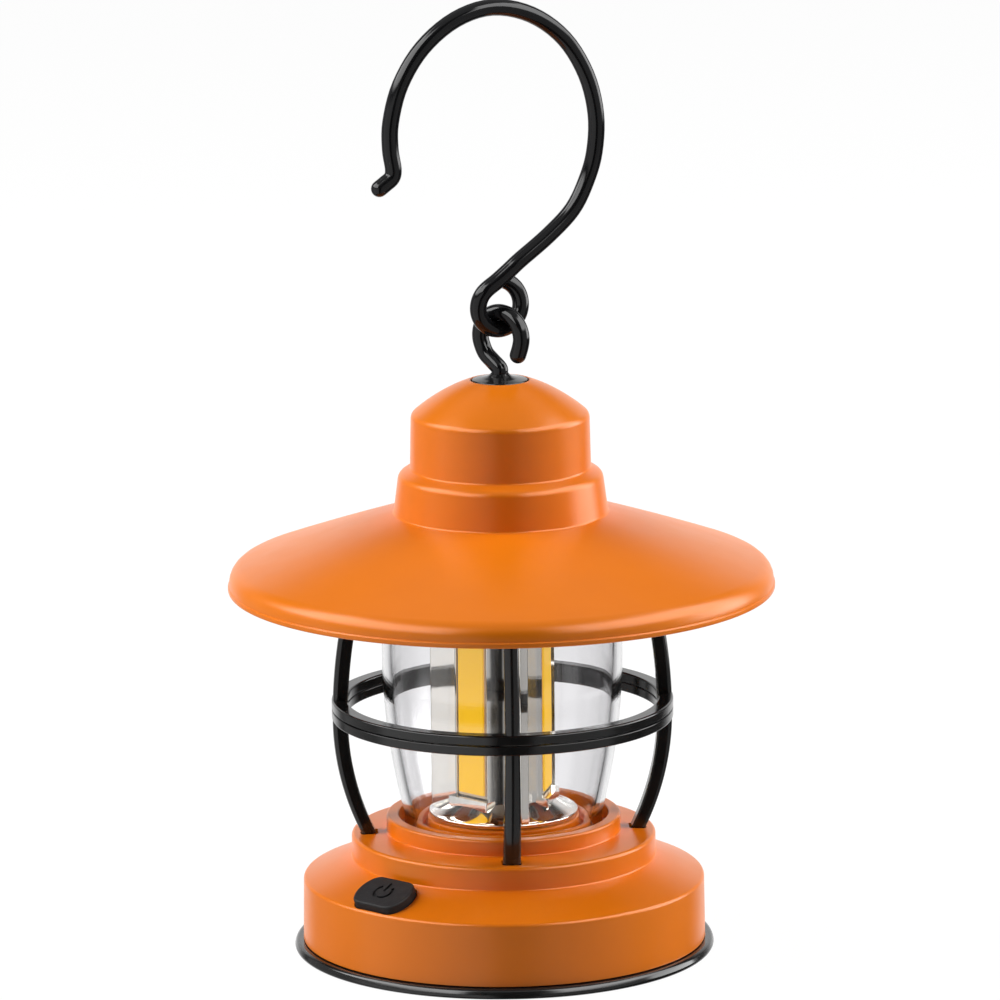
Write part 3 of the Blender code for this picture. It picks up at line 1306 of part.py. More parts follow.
def main():
    for obj in list(bpy.data.objects):
        bpy.data.objects.remove(obj, do_unlink=True)
    make_base_housing()
    make_bottom_cover()
    make_battery_door()
    make_battery_tray()
    make_cells()
    make_contacts()
    make_cover_screws()
    make_driver_board()
    make_battery_leads()
    make_power_button()
    make_switch()
    make_globe()
    make_reflector()
    make_led_strips()
    make_tie_rod()
    make_led_leads()
    make_cage()
    make_shade()
    make_ceiling_plate()
    make_flange()
    make_eye_bolt()
    make_hanging_hook()


main()
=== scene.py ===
"""Retro camping lantern: fine geometry, finishes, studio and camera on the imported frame.

Sizes are in millimetres and the model is in metres. +Z is up and the front is -Y. Bearings are
in degrees, 0 at the front and positive towards +X.
"""

import json
import math

import bmesh
import bpy
from mathutils import Matrix, Quaternion, Vector


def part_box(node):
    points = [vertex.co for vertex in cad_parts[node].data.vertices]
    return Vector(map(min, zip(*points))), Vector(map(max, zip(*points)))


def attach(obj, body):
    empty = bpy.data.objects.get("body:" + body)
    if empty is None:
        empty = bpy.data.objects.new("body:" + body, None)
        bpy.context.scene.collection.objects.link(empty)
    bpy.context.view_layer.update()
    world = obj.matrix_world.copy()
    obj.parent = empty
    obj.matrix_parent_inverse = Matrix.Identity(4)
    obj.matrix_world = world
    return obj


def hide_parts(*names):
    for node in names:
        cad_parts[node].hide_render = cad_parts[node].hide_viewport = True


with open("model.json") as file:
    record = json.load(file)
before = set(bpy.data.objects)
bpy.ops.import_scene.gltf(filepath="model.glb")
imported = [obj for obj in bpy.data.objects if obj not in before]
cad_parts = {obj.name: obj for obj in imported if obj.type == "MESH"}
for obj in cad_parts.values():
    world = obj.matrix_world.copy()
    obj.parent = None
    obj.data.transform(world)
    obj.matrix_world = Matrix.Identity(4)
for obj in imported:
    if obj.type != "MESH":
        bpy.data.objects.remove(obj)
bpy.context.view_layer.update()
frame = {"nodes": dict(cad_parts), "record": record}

MM = 0.001


def box(node):
    """Lowest and highest corner of a CAD node's box, in millimetres."""
    low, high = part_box(node)
    return low / MM, high / MM


def extent(node):
    """Reach in X, lowest level and highest level of a CAD node, in millimetres."""
    low, high = box(node)
    return high.x, low.z, high.z


# ---- sizes

TURN_SEGMENTS = 192     # sides of a large turned piece
SMALL_SEGMENTS = 48     # sides of a screw, cell or boss
PIN_SEGMENTS = 24
WIRE_SIDES = 28
ALONG_X = Matrix.Rotation(math.pi / 2, 4, "Y")      # turns a solid about Z to lie along X
ARC_STEP = 13           # degrees between the points of a fillet, about
SHARP_ANGLE = 32        # edges with a larger angle are shaded as sharp
FIT = 0.3               # between two pieces that seat on each other

# Sizes that the frame gives
BASE_RADIUS, BASE_FOOT_Z, HUB_Z = extent("base_housing")
FOOT_RADIUS, FOOT_Z, _ = extent("bottom_cover")
GLOBE_RADIUS, GLOBE_FOOT_Z, GLOBE_TOP_Z = extent("globe")
REFLECTOR_RADIUS, REFLECTOR_Z, REFLECTOR_TOP_Z = extent("reflector")
BELT_RADIUS, UPPER_BELT_Z, CAGE_TOP_Z = extent("cage_upper")
BRIM_RADIUS, BRIM_Z, DOME_TOP_Z = extent("shade")
CEILING_RADIUS, CEILING_Z, CEILING_RIM_Z = extent("ceiling_plate")
FLANGE_RADIUS, FLANGE_FOOT_Z, FLANGE_TOP_Z = extent("flange_disc")
DOOR_LOW, DOOR_HIGH = box("battery_door")

# Base
BASE_WALL = 2.0
BASE_DRAFT = 0.2                # how far the side wall leans in
SLOPE_FOOT_Z = 17.6
SLOPE_TOP_Z = 22.7
SHELF_RADIUS = 36.4
SHELF_Z = 28.3
SHELF_CROWN = 0.5
COLLAR_RADIUS = 28.0
COLLAR_TOP_Z = SHELF_Z + SHELF_CROWN + 4.0
GROOVE_Z = COLLAR_TOP_Z - 3.6
EDGE_ROUND = 0.9
SLOPE_ROUND = 1.0               # where the side wall meets the sloped top
FOOT_BEAD = 2.4
FOOT_WIDTH = 6.3
GROOVE_GAP = 1.4                # between the globe's seat and the collar's inner wall
RING_GAP = 0.6                  # between the globe's wall and the ring inside it
RING_WIDTH = 1.4
RING_HEIGHT = 3.0
HUB_GAP = 1.2                   # between the ring and the hub, and height of the floor there
ROD_BORE = 1.8                  # radius of the holes that the tie rod goes through
COVER_RECESS = 0.6
COVER_THICKNESS = 2.4
COVER_LIP = (1.4, 3.2)          # thickness, height above the bead
DOOR_PIN = (0.5, 0.8)           # radius of the pins, and of their holes
DOOR_PIN_LENGTH = 1.4
DOOR_TONGUE = (10.0, 0.9)       # width, thickness
DOOR_NOTCH = (6.5, 4.0)         # radius, and how far its middle lies in front of the door
DOOR_GROOVES = (14.0, 0.7, 1.5, 5.5)    # length, width, pitch, first one's distance in
SCREW_RADIUS = 1.1
SCREW_HEAD = (2.4, 1.3)         # radius, height
SCREW_LENGTH = 9.5
SCREW_CROSS = (SCREW_HEAD[0] * 1.24, 0.68)      # length, width
CELL_NUB = (2.75, 1.0)          # radius, height
CELL_ROLL = 1.6                 # width of the rolled edge at each end
BOSS_RADIUS = 3.2
BOSS_DROP = 4.2                 # from the foot of the shade's step down to the bosses' tops

# Power button
BUTTON_BEARING = -41.5
BUTTON_RADIUS = 7.5
BUTTON_HALF_DEPTH = 5.25        # middle to each flat
BUTTON_CORNER = 2.9
BUTTON_PROUD = 1.8
BUTTON_EDGE = 0.5
SYMBOL_RADIUS = 2.3
SYMBOL_STROKE = 0.72
SYMBOL_DEPTH = 0.45
SYMBOL_GAP = 40.0               # half the opening of the ring, in degrees

# Light
GLOBE_SEAT_RADIUS = 23.7
GLOBE_WALL = 2.3
GLOBE_SEAT_HEIGHT = 2.6
GLOBE_TAPER_HEIGHT = 39.5
REFLECTOR_BEARING = 16.6
WING_RADIUS = 17.6
WING_EDGE = 2.0
WING_ROOT = (11.3, 1.5)         # out from the axis, and half the thickness there
FACET_SAG = 0.35                # hollow between a wing's root and a trough's lip
TROUGH_DEPTH = 9.4
TROUGH_WIDTH = 9.6
TROUGH_LIP = (1.8, 0.15)        # height of the lip beside a trough, and its draft
TROUGH_BEARING = REFLECTOR_BEARING - 60
DISH_RIM = 1.0
DISH_RISE = 4.2
DISH_BEND = 1.38                # power of the dish's flare
CLIP_BAR = (12.5, 2.3, 3.0)     # width, height, and how far it stands out of the trough
LED_BOARD = (9.0, 0.8)          # width, thickness
LED_PHOSPHOR = (8.2, 0.5)

# Cage
CAGE_BEARING = 3.3
RIB_FOOT_RADIUS = 34.1
RIB_DEPTH = 3.7
RIB_WIDTH = 3.5
RIB_FOOT_WIDTH = 4.3
RIB_TOP_DRAW = 4.0
BELT_HALF = 2.25
BELT_DEPTH = 3.6
BELT_PROUD = 0.1
BELT_Z = UPPER_BELT_Z - FIT - BELT_HALF
RIB_BELLY_RADIUS = BELT_RADIUS - BELT_PROUD
CAGE_RING_THICKNESS = 2.7
CAGE_RING_Z = CAGE_TOP_Z - CAGE_RING_THICKNESS
CAGE_RING_GAP = 1.8

# Shade
LIP_DROP = 0.2                  # lip's edge below the CAD shade's, which is cut square
LIP_CREASE = (1.1, 0.3)         # how far above the edge it lies, and how deep it is
BRIM_ROLL = (4.8, 4.4)          # height of the roll's corner above the edge, and its radius
LIP_WIDTH = 2.4
SHADE_WALL = 2.0
STEP_RADIUS = 25.5
STEP_TOP_RADIUS = 24.3
STEP_FOOT_Z = BRIM_Z + 17.9
STEP_TOP_Z = STEP_FOOT_Z + 9.0
NECK_RADIUS = 21.5
NECK_TOP_RADIUS = 21.2
NECK_FOOT_Z = STEP_TOP_Z + 2.2
NECK_TOP_Z = NECK_FOOT_Z + 12.8
BRIM_CROWN = 0.3
BRIM_SLOPE = 0.346
DOME_BULGE = 0.95
FLANGE_SEAT_Z = FLANGE_FOOT_Z - FIT
FLANGE_FLARE = [(4.4, 0.35, 3.0), (2.9, 0.75, 1.2)]     # radius, height above the dome, fillet
CEILING_THICKNESS = 1.6
CEILING_RIM = 1.4               # thickness of its upturned rim

# Swivel and hook
WIRE_DIAMETER = 4.0
WIRE_RADIUS = WIRE_DIAMETER / 2
EYE_RADIUS = 5.9
HOOK_EYE_RADIUS = 5.8
EYE_Z = DOME_TOP_Z + 4.3 + EYE_RADIUS
LINK_Z = EYE_Z + EYE_RADIUS
HOOK_EYE_Z = LINK_Z - WIRE_DIAMETER - FIT + HOOK_EYE_RADIUS
LINK_LIFT = 0.28                # brings the two eyes together, which the CAD keeps apart
EYE_SHIFT = 0.4
EYE_TURN = -35.0
HOOK_TURN = 20.0
EYE_PITCH = WIRE_DIAMETER + 0.4
EYE_STEM_Z = DOME_TOP_Z + 2.6   # where the shank starts to bend
HOOK_EYE_SWEEP = (132, 306)     # angle where the hook's eye starts, and how far it goes round
HOOK_BEND = (10.6, 24.6)        # heights between which the wire bends to the front of the eye


# ---- outlines

def arc(radius, start, sweep, steps):
    """Points round the origin, from a starting angle through a sweep, both in degrees."""
    turns = [math.radians(start + sweep * step / steps) for step in range(steps + 1)]
    return [Vector((radius * math.cos(turn), radius * math.sin(turn))) for turn in turns]


def rounded(corners, closed=False, steps=None):
    """Outline through (x, y, fillet) corners, each corner cut to an arc of its fillet radius."""
    outline = []
    for index, corner in enumerate(corners):
        here = Vector(corner[:2])
        fillet = corner[2] if len(corner) > 2 else 0.0
        at_end = not closed and index in (0, len(corners) - 1)
        if at_end or not fillet:
            outline.append(here)
            continue
        before = (Vector(corners[index - 1][:2]) - here).normalized()
        after = (Vector(corners[(index + 1) % len(corners)][:2]) - here).normalized()
        half = before.angle(after) / 2
        centre = here + (before + after).normalized() * fillet / math.sin(half)
        bearings = []
        for side in (before, after):
            touch = side * fillet / math.tan(half) + here - centre
            bearings.append(math.degrees(math.atan2(touch.y, touch.x)))
        sweep = math.remainder(bearings[1] - bearings[0], 360)
        count = steps or max(2, round(abs(sweep) / ARC_STEP))
        outline += [centre + point for point in arc(fillet, bearings[0], sweep, count)]
    return outline


def crowned(start, end, bulge, steps):
    """Points from one point to another along a shallow arch, without the two ends."""
    start, end = Vector(tuple(start)), Vector(tuple(end))
    points = []
    for step in range(1, steps):
        share = step / steps
        point = start.lerp(end, share)
        points.append((point.x, point.y + 4 * bulge * share * (1 - share)))
    return points


def inset(outline, distance):
    """Open outline moved sideways, to its left, by a distance."""
    moved = []
    for index, here in enumerate(outline):
        normals = []
        for start, end in zip(outline[max(0, index - 1):index + 1], outline[max(1, index):index + 2]):
            along = (Vector(end[:2]) - Vector(start[:2])).normalized()
            normals.append(Vector((-along.y, along.x)))
        mean = sum(normals, Vector((0, 0))).normalized()
        moved.append(Vector(here[:2]) + mean * distance / mean.dot(normals[0]))
    return moved


def rectangle(x_range, y_range, fillets=(0, 0, 0, 0)):
    """Corners of a rectangle, in order round it from its lower left, with their fillets."""
    (left, right), (low, high) = x_range, y_range
    places = ((left, low), (right, low), (right, high), (left, high))
    return [(*place, fillet) for place, fillet in zip(places, fillets)]


def centred(width):
    """Range of this width with 0 in its middle."""
    return -width / 2, width / 2


def polar(out, bearing, side=0.0):
    """Plan position of a point so far out along a bearing, and so far beside it.

    The side is positive towards larger bearings.
    """
    angle = math.radians(bearing)
    return (out * math.sin(angle) + side * math.cos(angle),
            side * math.sin(angle) - out * math.cos(angle))


def frame_at(origin, *axes):
    """Matrix of a frame with this origin, in millimetres, and these three axes."""
    matrix = Matrix(axes).transposed().to_4x4()
    matrix.translation = origin * MM
    return matrix


# ---- solids

def stitch(bm, rows):
    """Faces between each ring of vertices and the next; a point may stand in for a ring."""
    for lower, upper in zip(rows, rows[1:]):
        for corners in zip(lower, lower[1:] + lower[:1], upper[1:] + upper[:1], upper):
            points = list(dict.fromkeys(corners))
            if len(points) > 2:
                bm.faces.new(points)


def turned(corners, segments=TURN_SEGMENTS):
    """Closed solid turned about Z from (radius, height, fillet) corners."""
    bm = bmesh.new()
    rows = []
    for radius, height in rounded(corners, closed=True):
        if radius < 0.001:
            rows.append([bm.verts.new((0, 0, height * MM))] * segments)
            continue
        circle = arc(radius, 0, 360, segments)[:-1]
        rows.append([bm.verts.new((x * MM, y * MM, height * MM)) for x, y in circle])
    stitch(bm, rows + rows[:1])
    bmesh.ops.recalc_face_normals(bm, faces=bm.faces)
    return bm


def ring(inner, outer, low, high, *fillets, segments=TURN_SEGMENTS):
    """Ring of rectangular section. Its fillets go round from the lower inner edge."""
    return turned(rectangle((inner, outer), (low, high), fillets), segments)


def loft(rings):
    """Closed solid through rings of points in millimetres, all in the same order."""
    bm = bmesh.new()
    rows = [[bm.verts.new(Vector(point) * MM) for point in points] for points in rings]
    stitch(bm, rows)
    bm.faces.new(list(reversed(rows[0])))
    bm.faces.new(rows[-1])
    bmesh.ops.recalc_face_normals(bm, faces=bm.faces)
    return bm


def prism(outline, low, high):
    """Solid that stands on a plan outline of (x, y) points."""
    return loft([[(x, y, height) for x, y in outline] for height in (low, high)])


def block(x_range, y_range, z_range, fillet=0.0):
    """Box between three ranges, with rounded upright corners if asked."""
    outline = rounded(rectangle(x_range, y_range, [fillet] * 4), closed=True)
    return prism(outline, *z_range)


def cylinder(radius, low, high, segments=SMALL_SEGMENTS):
    return turned(rectangle((0, radius), (low, high)), segments)


def wire(route):
    """Round wire along a route of points in millimetres, with rounded ends."""
    tangents = []
    for index in range(len(route)):
        before = route[max(0, index - 1)]
        after = route[min(len(route) - 1, index + 1)]
        tangents.append((after - before).normalized())
    normals = [tangents[0].orthogonal().normalized()]
    for start, end in zip(tangents, tangents[1:]):
        normals.append(start.rotation_difference(end) @ normals[-1])
    stations = []
    for angle in range(-80, 81, 16):
        if angle == 0:
            stations += [(*station, WIRE_RADIUS) for station in zip(route, tangents, normals)]
            continue
        turn = math.radians(angle)
        end = 0 if angle < 0 else -1
        centre = route[end] + tangents[end] * WIRE_RADIUS * math.sin(turn)
        stations.append((centre, tangents[end], normals[end], WIRE_RADIUS * math.cos(turn)))
    rings = []
    for centre, tangent, normal, radius in stations:
        side = tangent.cross(normal)
        circle = arc(radius, 0, 360, WIRE_SIDES)[:-1]
        rings.append([centre + normal * x + side * y for x, y in circle])
    return loft(rings)


def smooth_route(knots, steps):
    """Points on a Catmull-Rom curve through the knots."""
    padded = [2 * knots[0] - knots[1], *knots, 2 * knots[-1] - knots[-2]]
    route = []
    for before, start, end, after in zip(padded, padded[1:], padded[2:], padded[3:]):
        for step in range(steps):
            t = step / steps
            point = start * 2 + (end - before) * t
            point += (before * 2 - start * 5 + end * 4 - after) * t ** 2
            point += (start * 3 - before - end * 3 + after) * t ** 3
            route.append(point / 2)
    route.append(knots[-1])
    return route


def merged(parts):
    """One bmesh that holds several separate solids."""
    whole = bmesh.new()
    for part in parts:
        mesh = bpy.data.meshes.new("part")
        part.to_mesh(mesh)
        part.free()
        whole.from_mesh(mesh)
        bpy.data.meshes.remove(mesh)
    return whole


def shifted(bm, x=0.0, y=0.0, z=0.0):
    bmesh.ops.translate(bm, verts=bm.verts, vec=(x * MM, y * MM, z * MM))
    return bm


def placed(bm, matrix):
    """Move a bmesh by a matrix whose translation is in metres."""
    bmesh.ops.transform(bm, matrix=matrix, verts=bm.verts)
    return bm


# ---- pieces

def new_object(name, bm):
    mesh = bpy.data.meshes.new(name)
    bm.to_mesh(mesh)
    bm.free()
    obj = bpy.data.objects.new(name, mesh)
    bpy.context.scene.collection.objects.link(obj)
    return obj


def carve(obj, tool_bm, operation="DIFFERENCE"):
    """Cut a solid out of an object with an exact Boolean."""
    tool = new_object("tool", tool_bm)
    modifier = obj.modifiers.new("carve", "BOOLEAN")
    modifier.operation = operation
    modifier.solver = "EXACT"
    modifier.object = tool
    graph = bpy.context.evaluated_depsgraph_get()
    carved = bpy.data.meshes.new_from_object(obj.evaluated_get(graph))
    obj.modifiers.remove(modifier)
    plain = obj.data
    obj.data = carved
    bpy.data.meshes.remove(plain)
    bpy.data.objects.remove(tool)


def bevelled(obj, width, segments):
    """Round off an object's sharp edges."""
    modifier = obj.modifiers.new("bevel", "BEVEL")
    modifier.width = width * MM
    modifier.segments = segments
    modifier.limit_method = "ANGLE"
    modifier.angle_limit = math.radians(40)
    modifier.harden_normals = True


def finished(obj, slot, node, body="lantern", bevel=None):
    """Give a piece its edges, finish and shading, and set it on the frame for a node."""
    if bevel:
        bevelled(obj, *bevel)
    obj.data.materials.clear()
    obj.data.materials.append(FINISHES[slot])
    obj.data.shade_smooth()
    obj.data.set_sharp_from_angle(angle=math.radians(SHARP_ANGLE))
    weighted = obj.modifiers.new("weighted_normals", "WEIGHTED_NORMAL")
    weighted.keep_sharp = True
    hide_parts(node)
    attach(obj, body)
    return obj


def add_piece(name, bm, slot, node, body="lantern", bevel=None):
    return finished(new_object(name, bm), slot, node, body, bevel)


# ---- finishes

class Nodes:
    """A node tree being put together."""

    def __init__(self, tree):
        self.tree = tree

    def node(self, kind, inputs=None, **settings):
        """Node with its settings, and its inputs set to values or linked to sockets."""
        made = self.tree.nodes.new("ShaderNode" + kind)
        for name, value in settings.items():
            setattr(made, name, value)
        for name, value in (inputs or {}).items():
            if isinstance(value, bpy.types.NodeSocket):
                self.tree.links.new(value, made.inputs[name])
            else:
                made.inputs[name].default_value = value
        return made

    def math(self, operation, first, second=0.0):
        return self.node("Math", {0: first, 1: second}, operation=operation).outputs[0]

    def ramp(self, value, low, high, to_low=0.0, to_high=1.0):
        """Value moved smoothly from one range to another, and held at its ends."""
        inputs = {"Value": value, "From Min": low, "From Max": high,
                  "To Min": to_low, "To Max": to_high}
        return self.node("MapRange", inputs, interpolation_type="SMOOTHSTEP").outputs["Result"]


FINISHES = {}                   # each slot's material
MOTTLE_SIZE = 14.0              # of the patches of colour on moulded plastic
GLOSS_SIZE = 6.0                # of the patches of gloss
DUST = (2.6, 0.04, 0.25)        # cell, size of a speck as a share of it, share of cells with one


class Finish(Nodes):
    """A material being put together on its Principled shader, and kept in FINISHES."""

    def __init__(self, name, **constants):
        material = bpy.data.materials.new(name)
        material.use_nodes = True
        FINISHES[name] = material
        super().__init__(material.node_tree)
        self.shader = self.tree.nodes["Principled BSDF"]
        self.place = self.node("TexCoord").outputs["Object"]
        for name, value in constants.items():
            socket = name.replace("_", " ").title().replace("Ior", "IOR")
            self.shader.inputs[socket].default_value = value

    def stretched(self, scale):
        """Place on the object, scaled along each axis."""
        return self.node("Mapping", {"Vector": self.place, "Scale": scale}).outputs[0]

    def noise(self, size, detail=2.0, place=None):
        """Noise from 0 to 1 with features of about this size in millimetres."""
        inputs = {"Vector": place or self.place, "Scale": 1 / (size * MM), "Detail": detail}
        return self.node("TexNoise", inputs).outputs["Fac"]

    def spread(self, noise, low=0.0, high=1.0):
        """The range that a noise mostly keeps to, moved smoothly to another range."""
        return self.ramp(noise, 0.3, 0.7, low, high)

    def mixed(self, share, first, second):
        """Colour between two colours, which may be values or sockets."""
        colours = [value if isinstance(value, bpy.types.NodeSocket) else (*value, 1.0)
                   for value in (first, second)]
        inputs = {0: share, 6: colours[0], 7: colours[1]}
        return self.node("Mix", inputs, data_type="RGBA").outputs[2]

    def specks(self, cell, size, share):
        """1 on small round specks, one in some of the cells of a grid, and 0 elsewhere."""
        cells = self.node("TexVoronoi", {"Vector": self.place, "Scale": 1 / (cell * MM)}).outputs
        near = self.ramp(cells["Distance"], size, size * 0.5)
        tone = self.node("SeparateColor", {"Color": cells["Color"]}).outputs[0]
        return self.math("MULTIPLY", near, self.ramp(tone, 1 - share, 1 - share + 0.02))

    def complete(self, colour, rough, height, depth):
        """Link the colour, the roughness and a relief of this depth in millimetres."""
        inputs = {"Height": height, "Strength": 1.0, "Distance": depth * MM}
        normal = self.node("Bump", inputs).outputs["Normal"]
        for name, socket in (("Base Color", colour), ("Roughness", rough), ("Normal", normal)):
            self.tree.links.new(socket, self.shader.inputs[name])


def make_moulded(name, colour, deep, rough, grain, **constants):
    """Moulded plastic or paint: mottled colour, dust, uneven gloss and a fine grain.

    colour and deep are the two tones, rough the range of roughness, and grain the size and
    depth of the surface grain in millimetres.
    """
    finish = Finish(name, **constants)
    base = finish.mixed(finish.spread(finish.noise(MOTTLE_SIZE)), deep, colour)
    dust = finish.specks(*DUST)
    paler = [value + (0.8 - value) * 0.10 for value in colour]
    size, depth = grain
    finish.complete(finish.mixed(dust, base, paler),
                    finish.spread(finish.noise(GLOSS_SIZE), *rough),
                    finish.noise(size, 3.0), depth)


def make_button_rubber():
    """Matt rubber with an even, gritty skin."""
    finish = Finish("button_rubber", specular_ior_level=0.28)
    grit = finish.noise(0.22, 3.0)
    tone = (0.0075, 0.0068, 0.0072)
    deep, pale = ([value * share for value in tone] for share in (0.75, 1.3))
    finish.complete(finish.mixed(finish.ramp(grit, 0.35, 0.65), deep, pale),
                    finish.spread(finish.noise(2.5, 4.0), 0.52, 0.66), grit, 0.05)


def make_gasket():
    """Clear silicone ring under and over the globe, a little cloudy."""
    finish = Finish("gasket_rubber", specular_ior_level=0.4, transmission_weight=0.85, ior=1.41)
    cloud = finish.noise(1.2, 3.0)
    finish.complete(finish.mixed(cloud, (0.80, 0.79, 0.78), (0.88, 0.87, 0.86)),
                    finish.spread(cloud, 0.12, 0.25), cloud, 0.02)


def make_glass():
    """Clear moulded plastic with faint flow waves and a little dust."""
    finish = Finish("clear_globe", transmission_weight=1.0, ior=1.49)
    dust = finish.specks(3.0, 0.05, 0.25)
    tint = finish.mixed(finish.noise(9.0), (0.91, 0.905, 0.915), (0.925, 0.92, 0.93))
    waves = finish.noise(7.0, place=finish.stretched((1.0, 1.0, 0.25)))
    finish.complete(finish.mixed(dust, tint, (0.8, 0.8, 0.8)),
                    finish.ramp(dust, 0.0, 1.0, 0.0, 0.35), waves, 0.03)


def make_chrome():
    """Vacuum-plated plastic: bright, slightly wavy, with fine haze."""
    finish = Finish("reflector_chrome", metallic=1.0)
    haze = finish.noise(1.6, 4.0)
    waves = finish.noise(6.0, place=finish.stretched((1.0, 1.0, 0.35)))
    finish.complete(finish.mixed(haze, (0.94, 0.905, 0.83), (0.97, 0.95, 0.90)),
                    finish.spread(haze, 0.035, 0.085), waves, 0.05)


def make_phosphor():
    """Yellow phosphor gel, grainy, with a painted glow: a steady yellow emission that lightens the
    strips in the shade under the brim, though the LEDs are off.
    """
    # emission_color and emission_strength are painted light: a glow that stands in for light the brim
    # and ceiling plate keep off the strips
    finish = Finish("led_phosphor", specular_ior_level=0.3, emission_color=(1.0, 0.58, 0.008, 1.0),
                    emission_strength=0.45)
    grain = finish.noise(0.35, 3.0)
    tone = finish.mixed(finish.spread(grain), (0.93, 0.52, 0.016), (0.97, 0.58, 0.024))
    cloud = finish.spread(finish.noise(6.0))
    finish.complete(finish.mixed(cloud, tone, (0.96, 0.56, 0.02)),
                    finish.spread(grain, 0.38, 0.5), grain, 0.02)


def make_circuit_board():
    """Green solder mask over copper tracks on a square grid."""
    finish = Finish("circuit_board", specular_ior_level=0.5)
    cells = finish.node("TexVoronoi", {"Vector": finish.place, "Scale": 420.0},
                        distance="CHEBYCHEV", feature="F1")
    tracks = finish.ramp(cells.outputs["Distance"], 0.36, 0.42)
    mask = finish.mixed(finish.noise(3.0, 3.0), (0.010, 0.13, 0.045), (0.014, 0.17, 0.06))
    finish.complete(finish.mixed(tracks, mask, (0.03, 0.26, 0.09)),
                    finish.ramp(tracks, 0.0, 1.0, 0.28, 0.4), tracks, 0.035)


def make_cell_jacket():
    """Shrink jacket: dark with a coppery band at each end, and slight wrinkles round the cell."""
    finish = Finish("cell_jacket", specular_ior_level=0.5)
    along = finish.node("SeparateXYZ", {"Vector": finish.place}).outputs["X"]
    band = finish.ramp(finish.math("ABSOLUTE", along), 0.0140, 0.0142)
    dark = finish.mixed(finish.noise(4.0, 3.0), (0.012, 0.014, 0.018), (0.018, 0.020, 0.026))
    wrinkles = finish.noise(3.0, place=finish.stretched((0.3, 1.0, 1.0)))
    finish.complete(finish.mixed(band, dark, (0.42, 0.17, 0.055)),
                    finish.spread(finish.noise(2.0, 3.0), 0.22, 0.36), wrinkles, 0.03)


def make_steel():
    """Plated steel with fine brushing and stains."""
    finish = Finish("steel", metallic=1.0)
    stain = finish.ramp(finish.noise(2.2, 5.0), 0.35, 0.7)
    brush = finish.noise(0.25, 3.0, finish.stretched((1.0, 1.0, 0.15)))
    finish.complete(finish.mixed(stain, (0.60, 0.60, 0.60), (0.50, 0.49, 0.48)),
                    finish.spread(brush, 0.22, 0.38), brush, 0.008)


def make_finishes():
    """Material of every slot, with each moulded one's tones, roughness and grain."""
    make_moulded("orange_plastic", (0.80, 0.191, 0.004), (0.785, 0.185, 0.004), (0.285, 0.31),
                 (0.7, 0.0012), specular_ior_level=0.58, specular_tint=(1.0, 0.8, 0.68, 1.0))
    make_moulded("black_plastic", (0.014, 0.014, 0.014), (0.010, 0.010, 0.010), (0.10, 0.18),
                 (0.9, 0.004), specular_ior_level=0.45)
    make_moulded("black_wire", (0.010, 0.010, 0.011), (0.007, 0.007, 0.008), (0.05, 0.10),
                 (1.4, 0.003), specular_ior_level=0.28)
    make_moulded("led_board", (0.80, 0.70, 0.54), (0.74, 0.62, 0.46), (0.35, 0.5), (0.5, 0.015))
    make_moulded("white_plastic", (0.72, 0.71, 0.68), (0.68, 0.665, 0.63), (0.4, 0.5),
                 (0.4, 0.01))
    make_moulded("tray_plastic", (0.028, 0.028, 0.029), (0.021, 0.021, 0.022), (0.45, 0.6),
                 (0.35, 0.02))
    for name, colour in (("lead_red", (0.42, 0.02, 0.015)), ("lead_black", (0.02, 0.02, 0.02))):
        deep = [value * 0.8 for value in colour]
        make_moulded(name, colour, deep, (0.35, 0.5), (0.5, 0.01))
    make_button_rubber()
    make_gasket()
    make_glass()
    make_chrome()
    make_phosphor()
    make_circuit_board()
    make_cell_jacket()
    make_steel()


# ---- base

def slope_frame():
    """Frame on the sloped top of the base, at the button: Z out, Y up the slope."""
    angle = math.atan2(SLOPE_TOP_Z - SLOPE_FOOT_Z, BASE_RADIUS - SHELF_RADIUS)
    radial = Vector((*polar(1.0, BUTTON_BEARING), 0.0))
    up = Vector((0, 0, 1))
    normal = radial * math.sin(angle) + up * math.cos(angle)
    uphill = up * math.sin(angle) - radial * math.cos(angle)
    origin = radial * (BASE_RADIUS + SHELF_RADIUS) / 2
    origin.z = (SLOPE_FOOT_Z + SLOPE_TOP_Z) / 2
    return frame_at(origin, up.cross(radial), uphill, normal)


def button_outline(grow=0.0):
    """Circle with two opposite flats and rounded corners between them, in the slope frame."""
    corner_y = BUTTON_HALF_DEPTH - BUTTON_CORNER
    corner_x = math.sqrt((BUTTON_RADIUS - BUTTON_CORNER) ** 2 - corner_y ** 2)
    reach = math.degrees(math.atan2(corner_y, corner_x))
    corner = Vector((corner_x, corner_y))
    quarter = arc(BUTTON_RADIUS + grow, 0, reach, 8)[:-1]
    quarter += [corner + point for point in arc(BUTTON_CORNER + grow, reach, 90 - reach, 8)]
    half = quarter + [Vector((-point.x, point.y)) for point in reversed(quarter)]
    return half + [Vector((point.x, -point.y)) for point in reversed(half[1:-1])]


def base_skin(inner=0.0):
    """Corners of the base's outer face, or of its hollow at a distance inside it."""
    crown = SHELF_Z + SHELF_CROWN
    skin = [(BASE_RADIUS, BASE_FOOT_Z), (BASE_RADIUS - BASE_DRAFT, SLOPE_FOOT_Z),
            (SHELF_RADIUS, SLOPE_TOP_Z), (SHELF_RADIUS, SHELF_Z), (COLLAR_RADIUS, crown)]
    rounds = [0.0, SLOPE_ROUND, 0.5, EDGE_ROUND, 0.0]
    if inner:
        skin = inset(skin, inner)
        rounds = [0.0, 0.3, EDGE_ROUND, 0.3, 0.0]
    return [(radius, height, fillet) for (radius, height), fillet in zip(skin, rounds)]


